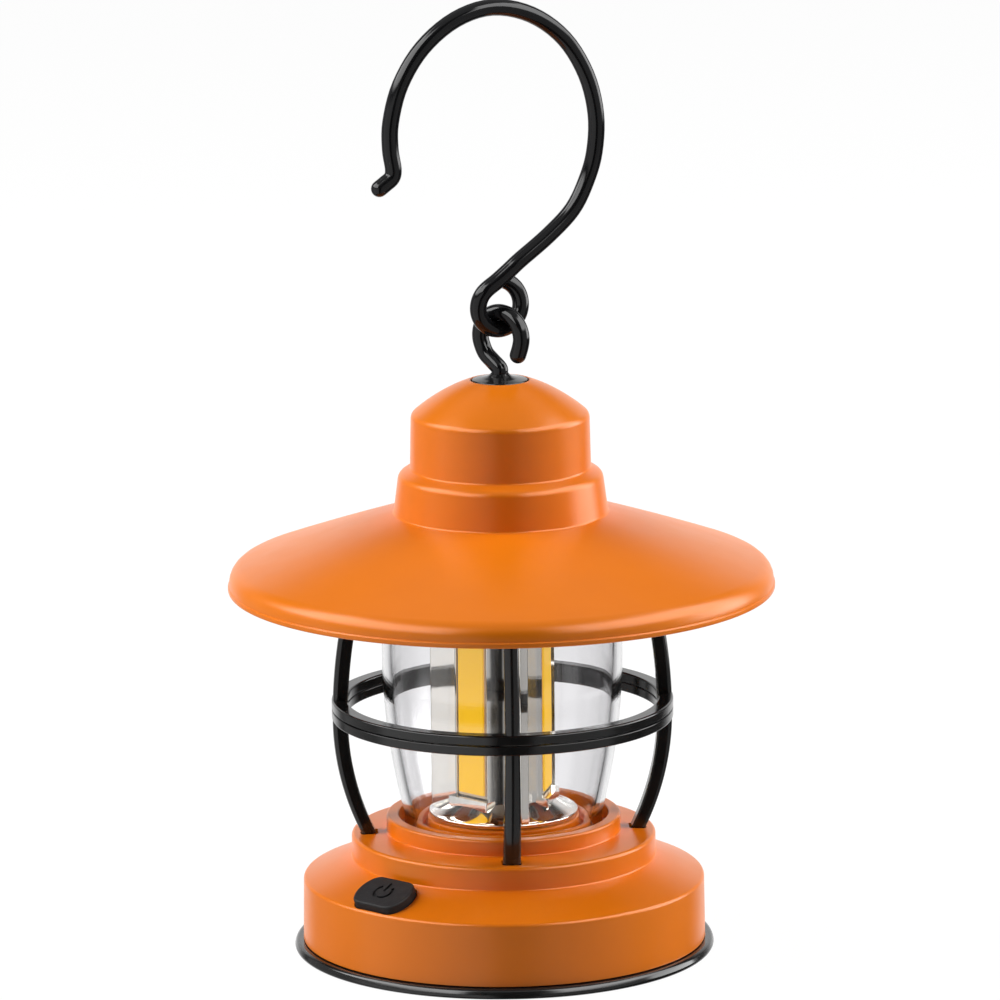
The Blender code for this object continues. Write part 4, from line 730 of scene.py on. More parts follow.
def make_base():
    """Orange housing: skin, collar, globe groove, ring and hub, hollow inside."""
    ring_outer = GLOBE_SEAT_RADIUS - GLOBE_WALL - RING_GAP
    ring_inner = ring_outer - RING_WIDTH
    ring_top = GROOVE_Z + RING_HEIGHT
    hub_radius = ring_inner - HUB_GAP
    hub_floor = GROOVE_Z + HUB_GAP
    groove_outer = GLOBE_SEAT_RADIUS + GROOVE_GAP
    skin = base_skin()
    hollow = base_skin(BASE_WALL)
    roof = hollow[-2][1]
    corners = [
        (0, roof), (hollow[-2][0] - 0.5, roof, 0.3), *reversed(hollow[1:-2]), hollow[0], *skin[:-1],
        (COLLAR_RADIUS, SHELF_Z + SHELF_CROWN, 0.4),
        (COLLAR_RADIUS, COLLAR_TOP_Z, 0.6),
        (groove_outer, COLLAR_TOP_Z, 0.35),
        (groove_outer, GROOVE_Z, 0.4),
        (ring_outer, GROOVE_Z, 0.3),
        (ring_outer, ring_top, 0.45),
        (ring_inner, ring_top, 0.45),
        (ring_inner, hub_floor, 0.2),
        (hub_radius, hub_floor, 0.2),
        (hub_radius, HUB_Z, 0.5),
        (0, HUB_Z),
    ]
    housing = new_object("base_housing_skin", turned(corners))
    carve(housing, merged(rib_foot(index, FIT, SHELF_Z - 10, SHELF_Z + 1) for index in range(4)))
    hole = prism(button_outline(FIT), -BASE_WALL - 2, BUTTON_PROUD + 1)
    carve(housing, placed(hole, slope_frame()))
    carve(housing, cylinder(ROD_BORE, roof - 1, HUB_Z + 1))
    finished(housing, "orange_plastic", "base_housing")


def at_screws(family, make):
    """Solids from a function, one on the axis of each of four screws."""
    solids = []
    for number in (1, 2, 3, 4):
        low, high = box(f"{family}_{number}")
        solids.append(shifted(make(), (low.x + high.x) / 2, (low.y + high.y) / 2))
    return solids


def make_bottom_cover():
    """Black cover whose beaded rim is the foot, with the battery bay and screw recesses."""
    bead = FOOT_BEAD / 2
    lip_outer = BASE_RADIUS - BASE_WALL - FIT
    lip_inner = lip_outer - COVER_LIP[0]
    lip_top = FOOT_BEAD + COVER_LIP[1]
    plate_top = COVER_RECESS + COVER_THICKNESS
    foot_inner = FOOT_RADIUS - FOOT_WIDTH
    corners = [(0, COVER_RECESS), (foot_inner - COVER_RECESS, COVER_RECESS, 0.4),
               (foot_inner, FOOT_Z, 0.4), (FOOT_RADIUS - 0.25, FOOT_Z, bead * 0.8),
               (FOOT_RADIUS, bead * 0.85, 0.9), (FOOT_RADIUS - 0.5, FOOT_BEAD, bead * 0.8),
               (lip_outer, FOOT_BEAD), (lip_outer, lip_top, 0.3), (lip_inner, lip_top, 0.3),
               (lip_inner, plate_top, 0.4), (0, plate_top)]
    cover = new_object("bottom_cover_shell", turned(corners))
    half_x = DOOR_HIGH.x - DOOR_PIN_LENGTH + FIT
    hinge_y = DOOR_HIGH.y - COVER_THICKNESS / 2
    carve(cover, block((-half_x, half_x), (DOOR_LOW.y - FIT, DOOR_HIGH.y + FIT),
                       (-2, plate_top + 2), 0.8))
    pin_end = half_x + DOOR_PIN_LENGTH + FIT
    pins = placed(cylinder(DOOR_PIN[1], -pin_end, pin_end, PIN_SEGMENTS), ALONG_X)
    carve(cover, shifted(pins, 0, hinge_y, COVER_RECESS + COVER_THICKNESS / 2))
    head_radius, head_height = SCREW_HEAD
    well_radius, well_top = head_radius + FIT, COVER_RECESS + head_height + 0.5
    well = [(0, -2), (well_radius, -2), (well_radius, well_top), (SCREW_RADIUS + FIT, well_top),
            (SCREW_RADIUS + FIT, plate_top + 2), (0, plate_top + 2)]
    carve(cover, merged(at_screws("cover_screw", lambda: turned(well, SMALL_SEGMENTS))))
    finished(cover, "black_plastic", "bottom_cover")


def make_battery_door():
    """Door with a rolled hinge edge, pins, a latch tongue, a thumb notch and grip grooves."""
    thick = COVER_THICKNESS / 2
    front = DOOR_LOW.y
    hinge_y = DOOR_HIGH.y - thick
    hinge_z = DOOR_LOW.z + thick
    half_x = DOOR_HIGH.x - DOOR_PIN_LENGTH
    section = [Vector((front, -thick)), Vector((front, thick))]
    section += [Vector((hinge_y + y, z)) for y, z in arc(thick, 90, -180, 12)]
    sides = [[(x, y, hinge_z + z) for y, z in section] for x in (-half_x, half_x)]
    door = new_object("battery_door_panel", loft(sides))
    pins = placed(cylinder(DOOR_PIN[0], -DOOR_HIGH.x, DOOR_HIGH.x, PIN_SEGMENTS), ALONG_X)
    carve(door, shifted(pins, 0, hinge_y, hinge_z), "UNION")
    width, deep = DOOR_TONGUE
    tongue_front = front + FIT
    tongue = block(centred(width), (tongue_front, tongue_front + deep), (hinge_z, DOOR_HIGH.z))
    carve(door, tongue, "UNION")
    radius, distance = DOOR_NOTCH
    carve(door, shifted(cylinder(radius, -1.2, 1.0, 64), 0, front - distance, DOOR_LOW.z + 0.2))
    length, width, pitch, first = DOOR_GROOVES
    grooves = []
    for row in range(5):
        groove = block(centred(length), centred(width), (-1, 0.45), 0.34)
        grooves.append(shifted(groove, 0, front + first + pitch * row, DOOR_LOW.z))
    carve(door, merged(grooves))
    finished(door, "black_plastic", "battery_door", "battery_hatch", bevel=(0.3, 3))


def make_screw():
    """Pan-head screw whose head faces down, with a cross recess that narrows as it deepens."""
    head_radius, head_height = SCREW_HEAD
    tip = head_height + SCREW_LENGTH
    corners = [(0, 0), (head_radius, 0, 0.55), (head_radius, head_height, 0.15),
               (SCREW_RADIUS, head_height), (SCREW_RADIUS, tip - SCREW_RADIUS, 0.1), (0, tip)]
    screw = new_object("screw_pattern", turned(corners, SMALL_SEGMENTS))
    for length, width in (SCREW_CROSS, reversed(SCREW_CROSS)):
        slot = rectangle(centred(length), centred(width))
        rings = [[(share * x, share * y, height) for x, y, _ in slot]
                 for share, height in ((1, -0.5), (1, 0.15), (0.45, 1.0))]
        carve(screw, loft(rings))
    return screw


def make_screws():
    """The eight pan-head screws that face down, under the cover and under the cage's ring."""
    pattern = make_screw()
    for family in ("cover_screw", "shade_screw"):
        for number in (1, 2, 3, 4):
            node = f"{family}_{number}"
            low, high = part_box(node)
            place = (low + high) / 2
            place.z = low.z
            copy = bpy.data.objects.new(f"{node}_fine", pattern.data.copy())
            turn = Matrix.Rotation(math.radians(37 * number), 4, "Z")
            copy.data.transform(Matrix.Translation(place) @ turn)
            bpy.context.scene.collection.objects.link(copy)
            finished(copy, "steel", node)
    bpy.data.objects.remove(pattern)


def make_cells():
    """Battery cells with a jacket, a rolled edge at each end and a nub."""
    nub_radius, nub_height = CELL_NUB
    for number in (1, 2, 3):
        node = f"battery_cell_{number}"
        low, high = box(node)
        centre = (low + high) / 2
        length = high.x - low.x
        radius = (high.y - low.y) / 2
        inner = radius - CELL_ROLL
        top = length - nub_height
        corners = [(0, 0.3), (inner - 0.4, 0.3, 0.2), (inner, 0, 0.2), (radius, 0, 0.5),
                   (radius, top, 0.5), (inner + 0.4, top, 0.2), (inner, top - 0.4, 0.2),
                   (nub_radius, top - 0.4, 0.3), (nub_radius, length, 0.3), (0, length)]
        cell = shifted(turned(corners, SMALL_SEGMENTS), 0, 0, -length / 2)
        placed(cell, ALONG_X.inverted() if number == 2 else ALONG_X)
        piece = add_piece(f"{node}_fine", shifted(cell, *centre), "cell_jacket", node)
        piece.data.materials.append(FINISHES["steel"])
        for face in piece.data.polygons:
            offset = face.center / MM - centre
            if math.hypot(offset.y, offset.z) < inner + 0.3:
                face.material_index = 1


def make_button():
    """Rubber power button with an engraved power symbol."""
    rings = []
    for outward, up in arc(BUTTON_EDGE, 0, 90, 5):
        height = BUTTON_PROUD - BUTTON_EDGE + up
        rings.append([(x, y, height) for x, y in button_outline(outward - BUTTON_EDGE)])
    to_slope = slope_frame().inverted()
    cap = frame["nodes"]["power_button"].data.vertices
    stem_low = min((to_slope @ vertex.co).z for vertex in cap) / MM
    rings.insert(0, [(x, y, stem_low) for x, y in button_outline()])
    button = new_object("power_button_cap", loft(rings))
    symbol = (BUTTON_PROUD - SYMBOL_DEPTH, BUTTON_PROUD + 1)
    half = SYMBOL_STROKE / 2
    outer, inner = (arc(radius, 90 + SYMBOL_GAP, 360 - 2 * SYMBOL_GAP, 40)
                    for radius in (SYMBOL_RADIUS + half, SYMBOL_RADIUS - half))
    carve(button, prism([*outer, *reversed(inner)], *symbol))
    carve(button, block((-half, half), (0.1, 3.4), symbol, half * 0.98))
    button.data.transform(slope_frame())
    finished(button, "button_rubber", "power_button", "button")


# ---- light

def globe_face():
    """Outer face of the globe, from its seat up to its rim."""
    taper_low = GLOBE_FOOT_Z + GLOBE_SEAT_HEIGHT
    outline = [Vector((GLOBE_SEAT_RADIUS, GLOBE_FOOT_Z))]
    steps = 36
    for step in range(steps + 1):
        share = 1 - step / steps
        radius = GLOBE_RADIUS - (GLOBE_RADIUS - GLOBE_SEAT_RADIUS) * share ** 2
        outline.append(Vector((radius, taper_low + GLOBE_TAPER_HEIGHT * (1 - share))))
    outline.append(Vector((GLOBE_RADIUS, GLOBE_TOP_Z)))
    return outline


def make_globe():
    """Thick clear globe with eased edges at its seat and rim."""
    outer = globe_face()
    inner = [point - Vector((GLOBE_WALL, 0)) for point in reversed(outer)]
    corners = []
    for face in (outer, inner):
        fillets = [0.4] + [0.0] * (len(face) - 2) + [0.4]
        corners += [(*point, fillet) for point, fillet in zip(face, fillets)]
    add_piece("globe_shell", turned(corners), "clear_globe", "globe").visible_shadow = False
    for node, radius in (("globe_gasket_lower", GLOBE_SEAT_RADIUS),
                         ("globe_gasket_upper", GLOBE_RADIUS)):
        _, low, high = extent(node)
        gasket = ring(radius - GLOBE_WALL, radius, low, high, 0.2, 0.2, 0.2, 0.2)
        add_piece(f"{node}_fine", gasket, "gasket_rubber", node).visible_shadow = False


def from_trough(outward, across):
    """Place along a wing and to its side, of a point given from the middle of a trough."""
    side, out = polar(outward, 60, -across)
    return -out, side


def star_outline():
    """Plan of the reflector's column: three wings with a lipped trough between each pair."""
    lip_height, draft = TROUGH_LIP
    floor = from_trough(TROUGH_DEPTH, TROUGH_WIDTH / 2)
    lip = from_trough(TROUGH_DEPTH + lip_height, TROUGH_WIDTH / 2 + draft)
    facet = crowned(reversed(WING_ROOT), reversed(lip), -FACET_SAG, 10)
    flank = [(WING_RADIUS, WING_EDGE / 2, 0.3), (*WING_ROOT, 0.2),
             *((out, side, 0.0) for side, out in facet), (*lip, 0.2), (*floor, 0.1)]
    corners = []
    for index in range(3):
        bearing = REFLECTOR_BEARING + 120 * index
        across = [(out, -side, fillet) for out, side, fillet in reversed(flank)] + flank
        corners += [(*polar(out, bearing, side), fillet) for out, side, fillet in across]
    return rounded(corners, closed=True)


def trough_frame(index):
    """Frame in the middle of a trough's floor: X across, Y outward, Z up."""
    outward = Vector((*polar(1.0, TROUGH_BEARING + 120 * index), 0.0))
    up = Vector((0, 0, 1))
    return frame_at(outward * TROUGH_DEPTH, outward.cross(up), outward, up)


def make_reflector():
    """Chrome column with its three dishes and the clip bar at the foot of each trough."""
    column = prism(star_outline(), REFLECTOR_Z + 0.2, REFLECTOR_TOP_Z)
    rim_z = REFLECTOR_Z + DISH_RIM
    dish_top = rim_z + DISH_RISE
    start = REFLECTOR_RADIUS - 0.25
    face = []
    for step in range(21):
        share = step / 20
        face.append((start - (start - TROUGH_DEPTH - 0.4) * share,
                     rim_z + DISH_RISE * share ** DISH_BEND))
    dish = turned([(0, REFLECTOR_Z), (REFLECTOR_RADIUS, REFLECTOR_Z, 0.3),
                   (REFLECTOR_RADIUS, rim_z, 0.25), *face, (0, dish_top)])
    width, height, proud = CLIP_BAR
    bars = []
    for index in range(3):
        bar = block(centred(width), (-2.0, proud), (dish_top - height, dish_top), 0.3)
        bars.append(placed(bar, trough_frame(index)))
    add_piece("reflector_mirror", merged([column, dish, *bars]), "reflector_chrome", "reflector",
              bevel=(0.25, 2))
    _, low, high = extent("reflector_cap")
    cap = ring(ROD_BORE, REFLECTOR_RADIUS, low, high, 0.2, 0.4, 0.4, 0.2)
    add_piece("reflector_cap_disc", cap, "white_plastic", "reflector_cap")


def make_led_strips():
    """Boards in the troughs, each with a raised strip of phosphor."""
    for index in range(3):
        place = trough_frame(index)
        node = f"led_board_{index + 1}"
        width, thick = LED_BOARD
        face = FIT + thick
        board = block(centred(width), (FIT, face), extent(node)[1:])
        add_piece(f"{node}_fine", placed(board, place), "led_board", node, bevel=(0.12, 2))
        node = f"led_phosphor_{index + 1}"
        width, thick = LED_PHOSPHOR
        low = face + 0.1
        corners = rectangle(centred(width), (low, low + thick), (0, 0, 0.3, 0.3))
        corners.insert(3, (0, low + thick * 1.05))
        section = rounded(corners, closed=True, steps=4)
        strip = placed(prism(section, *extent(node)[1:]), place)
        add_piece(f"{node}_fine", strip, "led_phosphor", node, bevel=(0.15, 3))


# ---- cage

def rib_reach(height):
    """Radius of a rib's outer edge at a height: two arcs that meet at its belly."""
    drop = height - BELT_Z
    if drop < 0:
        rise, draw = BELT_Z - SHELF_Z, RIB_BELLY_RADIUS - RIB_FOOT_RADIUS
    else:
        rise, draw = CAGE_RING_Z - BELT_Z, RIB_TOP_DRAW
    bend = (rise ** 2 + draw ** 2) / (2 * draw)
    return RIB_BELLY_RADIUS - bend + math.sqrt(bend ** 2 - drop ** 2)


def rib_section(outer, width, height, bearing, grow=0.0):
    """Ring of points round a rib: flat sides and back, crowned front."""
    half = width / 2 + grow
    back = outer - RIB_DEPTH - grow
    front = outer + grow
    corners = [(back, -half, 0.45), (front - 0.35, -half, 1.0), (front, 0, 2.5),
               (front - 0.35, half, 1.0), (back, half, 0.45)]
    return [(*polar(out, bearing, side), height)
            for out, side in rounded(corners, closed=True, steps=5)]


def rib_foot(index, grow, low, high):
    bearing = CAGE_BEARING + 90 * index
    return loft([rib_section(RIB_FOOT_RADIUS, RIB_FOOT_WIDTH, height, bearing, grow)
                 for height in (low, high)])


def rib(index, low, high, foot_low=None):
    """One rib between two heights, with a straight tab below its foot if asked."""
    bearing = CAGE_BEARING + 90 * index
    rings = []
    if foot_low is not None:
        rings.append(rib_section(RIB_FOOT_RADIUS, RIB_FOOT_WIDTH, foot_low, bearing))
    steps = 36
    for step in range(steps + 1):
        height = low + (high - low) * step / steps
        share = max(0.0, (BELT_Z - height) / (BELT_Z - SHELF_Z))
        width = RIB_WIDTH + (RIB_FOOT_WIDTH - RIB_WIDTH) * share
        rings.append(rib_section(rib_reach(height), width, height, bearing))
    return loft(rings)


def belt_band(low, *fillets):
    return ring(BELT_RADIUS - BELT_DEPTH, BELT_RADIUS, low, low + BELT_HALF, *fillets)


def make_cage():
    """Lower and upper halves of the black cage, which meet at the belt with finer edges."""
    foot_low = extent("cage_lower")[1]
    overlap = 0.1
    ribs = [rib(index, SHELF_Z, BELT_Z + BELT_HALF - overlap, foot_low) for index in range(4)]
    band = belt_band(BELT_Z, 0.45, 0.45, 0.2, 0.2)
    add_piece("cage_lower_fine", merged([*ribs, band]), "black_plastic", "cage_lower")
    ribs = [rib(index, UPPER_BELT_Z + overlap, CAGE_TOP_Z - 0.6) for index in range(4)]
    band = belt_band(UPPER_BELT_Z, 0.2, 0.2, 0.45, 0.45)
    top_ring = ring(GLOBE_RADIUS + CAGE_RING_GAP, rib_reach(CAGE_RING_Z) - 0.2, CAGE_RING_Z,
                    CAGE_TOP_Z, 0.4, 0.4, 0.4, 0.4)
    add_piece("cage_upper_fine", merged([*ribs, band, top_ring]), "black_plastic", "cage_upper")


# ---- shade

def shade_skin():
    """Corners of the shade's outer face, from its brim's edge to the flange's recess."""
    roll_height, roll_radius = BRIM_ROLL
    brim_edge = (BRIM_RADIUS - LIP_CREASE[1], BRIM_Z + roll_height)
    step_foot = (STEP_RADIUS, STEP_FOOT_Z + 0.4)
    dome_foot = (NECK_TOP_RADIUS, NECK_TOP_Z)
    dome_top = (FLANGE_RADIUS + FIT, DOME_TOP_Z)
    return [
        (*brim_edge, roll_radius),
        *crowned(brim_edge, step_foot, BRIM_CROWN, 12)[1:],
        (*step_foot, 0.7),
        (STEP_TOP_RADIUS, STEP_TOP_Z + 0.6, 2.2),
        (NECK_RADIUS, NECK_FOOT_Z, 0.7),
        (*dome_foot, 2.0),
        *crowned(dome_foot, dome_top, DOME_BULGE, 14)[1:],
        (*dome_top, 0.25),
    ]


def make_shade():
    """Orange shade: rolled lip, brim, step, neck and dome, with screw bosses inside."""
    skin = shade_skin()
    lip_inner = BRIM_RADIUS - LIP_WIDTH
    ceiling = FLANGE_SEAT_Z - SHADE_WALL
    under = []
    for point, corner in zip(inset(skin, SHADE_WALL), skin):
        fillet = corner[2] if len(corner) > 2 else 0.0
        if point.y < ceiling and point.x < lip_inner - 2:
            under.append((point.x, point.y, min(fillet, 0.5)))
    underside = under[0][1] - (lip_inner - under[0][0]) * BRIM_SLOPE
    lip_z = BRIM_Z - LIP_DROP
    crease_rise, crease = LIP_CREASE
    corners = [
        (lip_inner, lip_z, 0.35), (BRIM_RADIUS, lip_z, 0.45),
        (BRIM_RADIUS, lip_z + crease_rise, 0.15),
        (BRIM_RADIUS - crease, lip_z + crease_rise + crease), *skin,
        (FLANGE_RADIUS + FIT, FLANGE_SEAT_Z, 0.1), (WIRE_RADIUS + FIT, FLANGE_SEAT_Z),
        (WIRE_RADIUS + FIT, ceiling), (under[-1][0] - 1.0, ceiling),
        *reversed(under), (lip_inner, underside, 0.8),
    ]
    boss_low = CEILING_Z + CEILING_THICKNESS + FIT
    bosses = at_screws("shade_screw", lambda: ring(
        SCREW_RADIUS + 0.1, BOSS_RADIUS, boss_low, STEP_FOOT_Z - BOSS_DROP, 0, 0.3, 0, 0,
        segments=SMALL_SEGMENTS))
    add_piece("shade_skin", merged([turned(corners), *bosses]), "orange_plastic", "shade")


def make_ceiling_plate():
    """Plate under the shade that closes the globe, with an upturned rim."""
    top = CEILING_Z + CEILING_THICKNESS
    rim_inner = CEILING_RADIUS - CEILING_RIM
    corners = [(ROD_BORE, CEILING_Z), (CEILING_RADIUS, CEILING_Z, 0.5),
               (CEILING_RADIUS, CEILING_RIM_Z, 0.4), (rim_inner, CEILING_RIM_Z, 0.4),
               (rim_inner, top, 0.4), (ROD_BORE, top)]
    add_piece("ceiling_plate_disc", turned(corners), "white_plastic", "ceiling_plate")


# ---- swivel and hook

def make_flange():
    """Glossy cone in the top of the dome that flares up round the shank."""
    bore = WIRE_RADIUS + 0.1
    flare = [(radius, DOME_TOP_Z + height, fillet) for radius, height, fillet in FLANGE_FLARE]
    corners = [(bore, FLANGE_FOOT_Z), (FLANGE_RADIUS, FLANGE_FOOT_Z),
               (FLANGE_RADIUS, DOME_TOP_Z, 0.25), *flare, (bore + 0.05, FLANGE_TOP_Z)]
    add_piece("flange_cone", turned(corners, 96), "black_plastic", "flange_disc")


def plane_point(turn, across, height, depth=0.0):
    """Point in a vertical plane turned about Z; depth is towards the front."""
    return Vector((*polar(depth, turn, across), height))


def make_eye_bolt():
    """Open wire eye whose left side runs down into the vertical shank."""
    places = [(0, FLANGE_TOP_Z + 0.2), (-0.1, EYE_STEM_Z),
              (-EYE_RADIUS * 0.34, EYE_Z - EYE_RADIUS * 1.02),
              (-EYE_RADIUS * 0.66, EYE_Z - EYE_RADIUS * 0.75)]
    places += [(EYE_SHIFT + x, EYE_Z + z) for x, z in arc(EYE_RADIUS, 205, -225, 12)]
    places.append((EYE_SHIFT + EYE_RADIUS * 0.83, EYE_Z - EYE_RADIUS * 0.66))
    knots = [plane_point(EYE_TURN, *place) for place in places]
    shank_end = plane_point(EYE_TURN, 0, extent("eye_bolt")[1] + WIRE_RADIUS)
    bolt = wire([shank_end, *smooth_route(knots, 5)])
    add_piece("eye_bolt_wire", bolt, "black_wire", "eye_bolt", "swivel")


def make_hook():
    """Hanging hook: a bent tip, a wide loop, and a helical eye at its foot.

    The loop's points are across the lantern and up from the middle of that eye.
    """
    loop = [(-29.6, 30.1), (-28.2, 31.1), (-26.5, 32.5), (-26.1, 34.6), (-26.8, 39.4),
            (-26.6, 45.8), (-24.1, 54.4), (-18.6, 62.7), (-10.4, 68.9), (-1.1, 71.3),
            (8.6, 69.0), (16.8, 62.9), (22.3, 54.0), (24.7, 44.4), (24.3, 35.4),
            (22.1, 28.3), (18.4, 21.9), (12.0, 16.3), (4.6, 11.1), (2.0, 9.0), (-1.1, 6.55)]
    bend_low, bend_high = HOOK_BEND
    front = EYE_PITCH / 2
    places = []
    for across, height in loop:
        near_eye = min(1.0, max(0.0, (bend_high - height) / (bend_high - bend_low)))
        places.append((across, height, front * near_eye))
    for step, (across, height) in enumerate(arc(HOOK_EYE_RADIUS, *HOOK_EYE_SWEEP, 16)):
        places.append((across, LINK_LIFT + height, front * (1 - step / 8)))
    knots = [plane_point(HOOK_TURN, across, HOOK_EYE_Z + height, depth)
             for across, height, depth in places]
    hook = wire(smooth_route(knots, 5))
    add_piece("hanging_hook_wire", hook, "black_wire", "hanging_hook", "hook")


# ---- hidden nodes

def finish_remaining():
    """CAD nodes that keep their shape get the finish of their slot and eased edges."""
    slots = {part["node"]: part["material_slot"] for part in frame["record"]["subparts"]}
    round_ones = ("spring", "lead", "rod", "washer", "screw")
    for name, node in frame["nodes"].items():
        if node.hide_render:
            continue
        node.data.materials.clear()
        node.data.materials.append(FINISHES[slots[name]])
        if not any(word in name for word in round_ones):
            bevelled(node, 0.15, 2)


# ---- studio

FLOOR_RADIUS = 7.0                      # metres
FLOOR_TONE = (0.60, 0.64)
FLOOR_GLOW = (1.09, 0.87)               # strength, and its share where the camera sees the floor
AMBIENT = 0.04                          # even light from all round on matt surfaces
STUDIO_BASE = 0.02                      # least that a reflection shows
# Soft-edged panels that only reflections show, in degrees: bearing from and to, elevation from
# and to, softness, strength. The softboxes themselves would have a strength of about 7.
PANELS = [
    (-200.0, 200.0, 44.0, 95.0, 18.0, 0.55),
    (-90.0, -8.0, -60.0, 12.0, 10.0, 0.95),
    (-112.0, -24.0, 20.0, 56.0, 8.0, 7.0),
    (-135.0, -90.0, -60.0, 30.0, 6.0, 0.32),
    (20.0, 80.0, -60.0, 30.0, 8.0, 0.45),
    (30.0, 90.0, 20.0, 58.0, 10.0, 7.0),
    (86.0, 124.0, -6.0, 16.0, 6.0, 6.0),
    (90.0, 124.0, 16.0, 55.0, 6.0, 5.0),
]
BACKDROP = (134.0, 156.0, 0.94)         # bearing where it starts, where it is full, strength
BACKDROP_TOP = (20.0, 32.0)             # elevation where it starts to end, where it has ended
SOFTBOX_AIM = (0, 0, 0.09)              # metres
SOFTBOX_ELEVATION = 34
SOFTBOX_DISTANCE = 1.4                  # metres
SOFTBOX_SIZE = (0.8, 1.5)               # metres
SOFTBOXES = {"softbox_left": (-92, 1.34), "softbox_right": (98, 1.23)}      # bearing, level
CAMERA_AIM = (-0.00019, 0, 0.1091)      # metres
CAMERA_ELEVATION = 12.15
CAMERA_DISTANCE = 1.9                   # metres
CAMERA_LENS = 288                       # millimetres, on a sensor 36 wide
CAMERA_ROLL = -0.49


def make_floor():
    """Pale round floor. It shows near white to the camera but keeps a soft shadow."""
    bm = bmesh.new()
    bmesh.ops.create_circle(bm, cap_ends=True, segments=128, radius=FLOOR_RADIUS)
    floor = new_object("floor", bm)
    material = bpy.data.materials.new("floor")
    material.use_nodes = True
    material.node_tree.nodes.clear()
    graph = Nodes(material.node_tree)

    def mix(share, first, second):
        return graph.node("MixShader", {0: share, 1: first, 2: second}).outputs[0]

    path = graph.node("LightPath").outputs
    place = graph.node("TexCoord").outputs["Object"]
    paper = graph.node("TexNoise", {"Vector": place, "Scale": 4.0, "Detail": 3.0}).outputs["Fac"]
    dark, pale = FLOOR_TONE
    tone = graph.node("MapRange", {"Value": paper, "To Min": dark, "To Max": pale}).outputs[0]
    matt = graph.node("BsdfDiffuse", {"Color": tone}).outputs[0]
    strength, share = FLOOR_GLOW
    glow = graph.node("Emission", {"Strength": strength}).outputs[0]
    seen = graph.math("MAXIMUM", path["Is Camera Ray"], path["Is Transmission Ray"])
    lit = mix(graph.math("MULTIPLY", seen, share), matt, glow)
    mirrored = graph.math("GREATER_THAN", path["Glossy Depth"], 0.5)
    below = graph.node("NewGeometry").outputs["Backfacing"]
    clear = graph.node("BsdfTransparent").outputs[0]
    whole = mix(graph.math("MAXIMUM", mirrored, below), lit, clear)
    graph.node("OutputMaterial", {"Surface": whole})
    floor.data.materials.append(material)


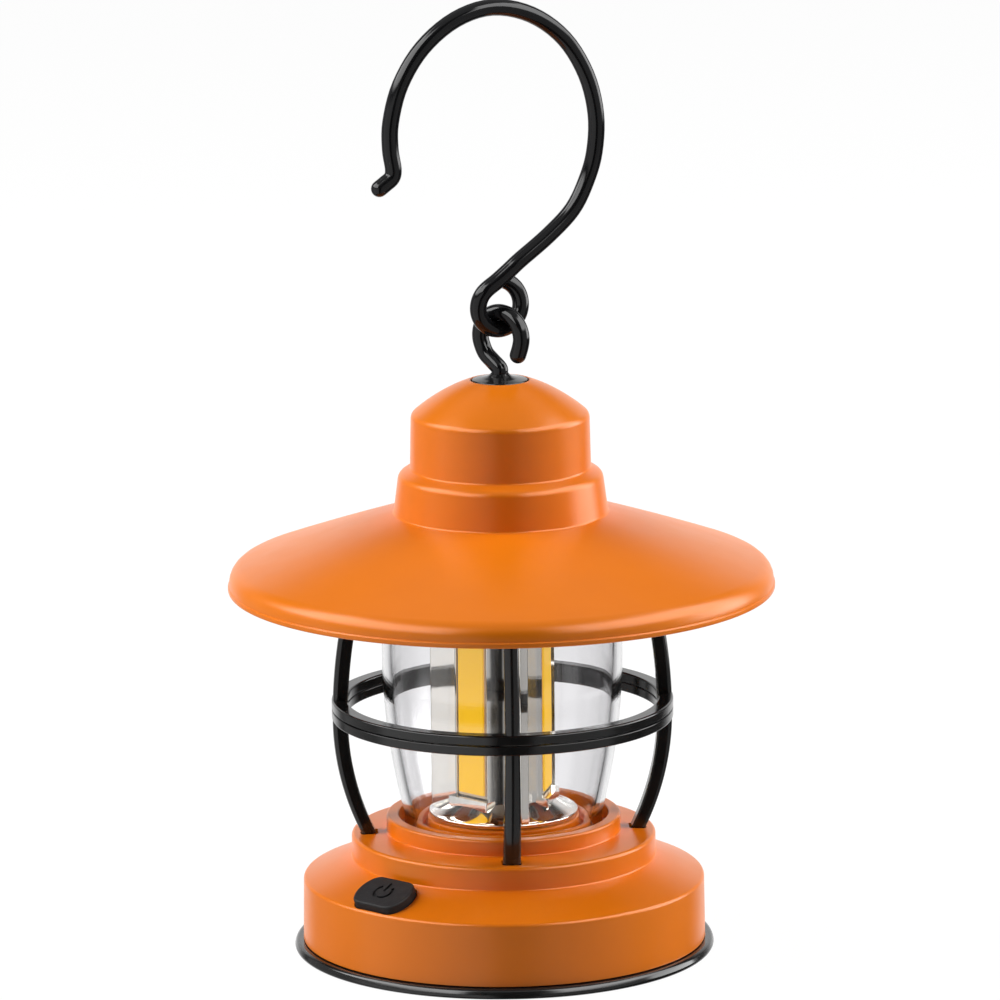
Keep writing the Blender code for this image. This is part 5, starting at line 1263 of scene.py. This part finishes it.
def make_world():
    """White behind the object, plain soft light on it, and soft panels in its reflections."""
    world = bpy.data.worlds.new("studio")
    bpy.context.scene.world = world
    world.use_nodes = True
    world.cycles.sampling_method = "NONE"
    graph = Nodes(world.node_tree)
    calc = graph.math

    def product(*factors):
        result = factors[0]
        for factor in factors[1:]:
            result = calc("MULTIPLY", result, factor)
        return result

    def band(value, low, high, soft):
        """1 between two levels, with a soft edge of this width at each, and 0 outside."""
        return product(graph.ramp(value, low - soft / 2, low + soft / 2),
                       graph.ramp(value, high + soft / 2, high - soft / 2))

    path = graph.node("LightPath").outputs
    direction = graph.node("TexCoord").outputs["Generated"]
    axes = graph.node("SeparateXYZ", {"Vector": direction}).outputs
    bearing = product(calc("ARCTAN2", axes["X"], product(axes["Y"], -1.0)), math.degrees(1))
    elevation = product(calc("ARCSINE", axes["Z"]), math.degrees(1))
    start, full, strength = BACKDROP
    top_start, top_end = BACKDROP_TOP
    glow = calc("ADD", STUDIO_BASE, product(
        graph.ramp(calc("ABSOLUTE", bearing), start, full), strength,
        graph.ramp(elevation, top_end, top_start)))
    for left, right, low, high, soft, strength in PANELS:
        panel = product(band(bearing, left, right, soft), band(elevation, low, high, soft))
        glow = calc("ADD", glow, product(panel, strength))
    mirrored = calc("GREATER_THAN", path["Glossy Depth"], 0.5)
    shown = calc("ADD", product(mirrored, glow), calc("SUBTRACT", 1.0, mirrored))
    seen = calc("MAXIMUM", calc("MAXIMUM", path["Is Camera Ray"], path["Is Glossy Ray"]),
                path["Is Transmission Ray"])
    lighting = product(calc("SUBTRACT", 1.0, seen), AMBIENT)
    background = graph.tree.nodes["Background"]
    background.inputs["Color"].default_value = (1, 1, 1, 1)
    graph.tree.links.new(calc("ADD", product(seen, shown), lighting),
                         background.inputs["Strength"])


def make_lights():
    """Softbox at each side, aimed at the middle of the lantern.

    Its level is how bright it makes a white surface that faces it.
    """
    elevation = math.radians(SOFTBOX_ELEVATION)
    for name, (bearing, level) in SOFTBOXES.items():
        towards = Vector((*polar(math.cos(elevation), bearing), math.sin(elevation)))
        light = bpy.data.lights.new(name, "AREA")
        light.shape = "RECTANGLE"
        light.size, light.size_y = SOFTBOX_SIZE
        light.energy = level * math.pi ** 2 * SOFTBOX_DISTANCE ** 2
        lamp = bpy.data.objects.new(name, light)
        lamp.location = Vector(SOFTBOX_AIM) + towards * SOFTBOX_DISTANCE
        lamp.rotation_mode = "QUATERNION"
        lamp.rotation_quaternion = towards.to_track_quat("Z", "Y")
        lamp.visible_camera = False
        lamp.visible_glossy = False
        lamp.visible_transmission = False
        bpy.context.scene.collection.objects.link(lamp)


def make_camera():
    """Long lens a little above the lantern, rolled slightly."""
    elevation = math.radians(CAMERA_ELEVATION)
    back = Vector((0, -math.cos(elevation), math.sin(elevation)))
    camera = bpy.data.cameras.new("camera")
    camera.sensor_width = 36
    camera.lens = CAMERA_LENS
    camera.clip_end = 100
    viewer = bpy.data.objects.new("camera", camera)
    viewer.location = Vector(CAMERA_AIM) + back * CAMERA_DISTANCE
    viewer.rotation_mode = "QUATERNION"
    roll = Quaternion((0, 0, 1), math.radians(CAMERA_ROLL))
    viewer.rotation_quaternion = (-back).to_track_quat("-Z", "Y") @ roll
    bpy.context.scene.collection.objects.link(viewer)
    bpy.context.scene.camera = viewer


# ---- scene

make_camera()
make_finishes()
make_base()
make_bottom_cover()
make_battery_door()
make_screws()
make_cells()
make_button()
make_globe()
make_reflector()
make_led_strips()
make_cage()
make_shade()
make_ceiling_plate()
make_flange()
make_eye_bolt()
make_hook()
finish_remaining()
make_floor()
make_world()
make_lights()
bpy.context.scene.view_settings.view_transform = "Standard"
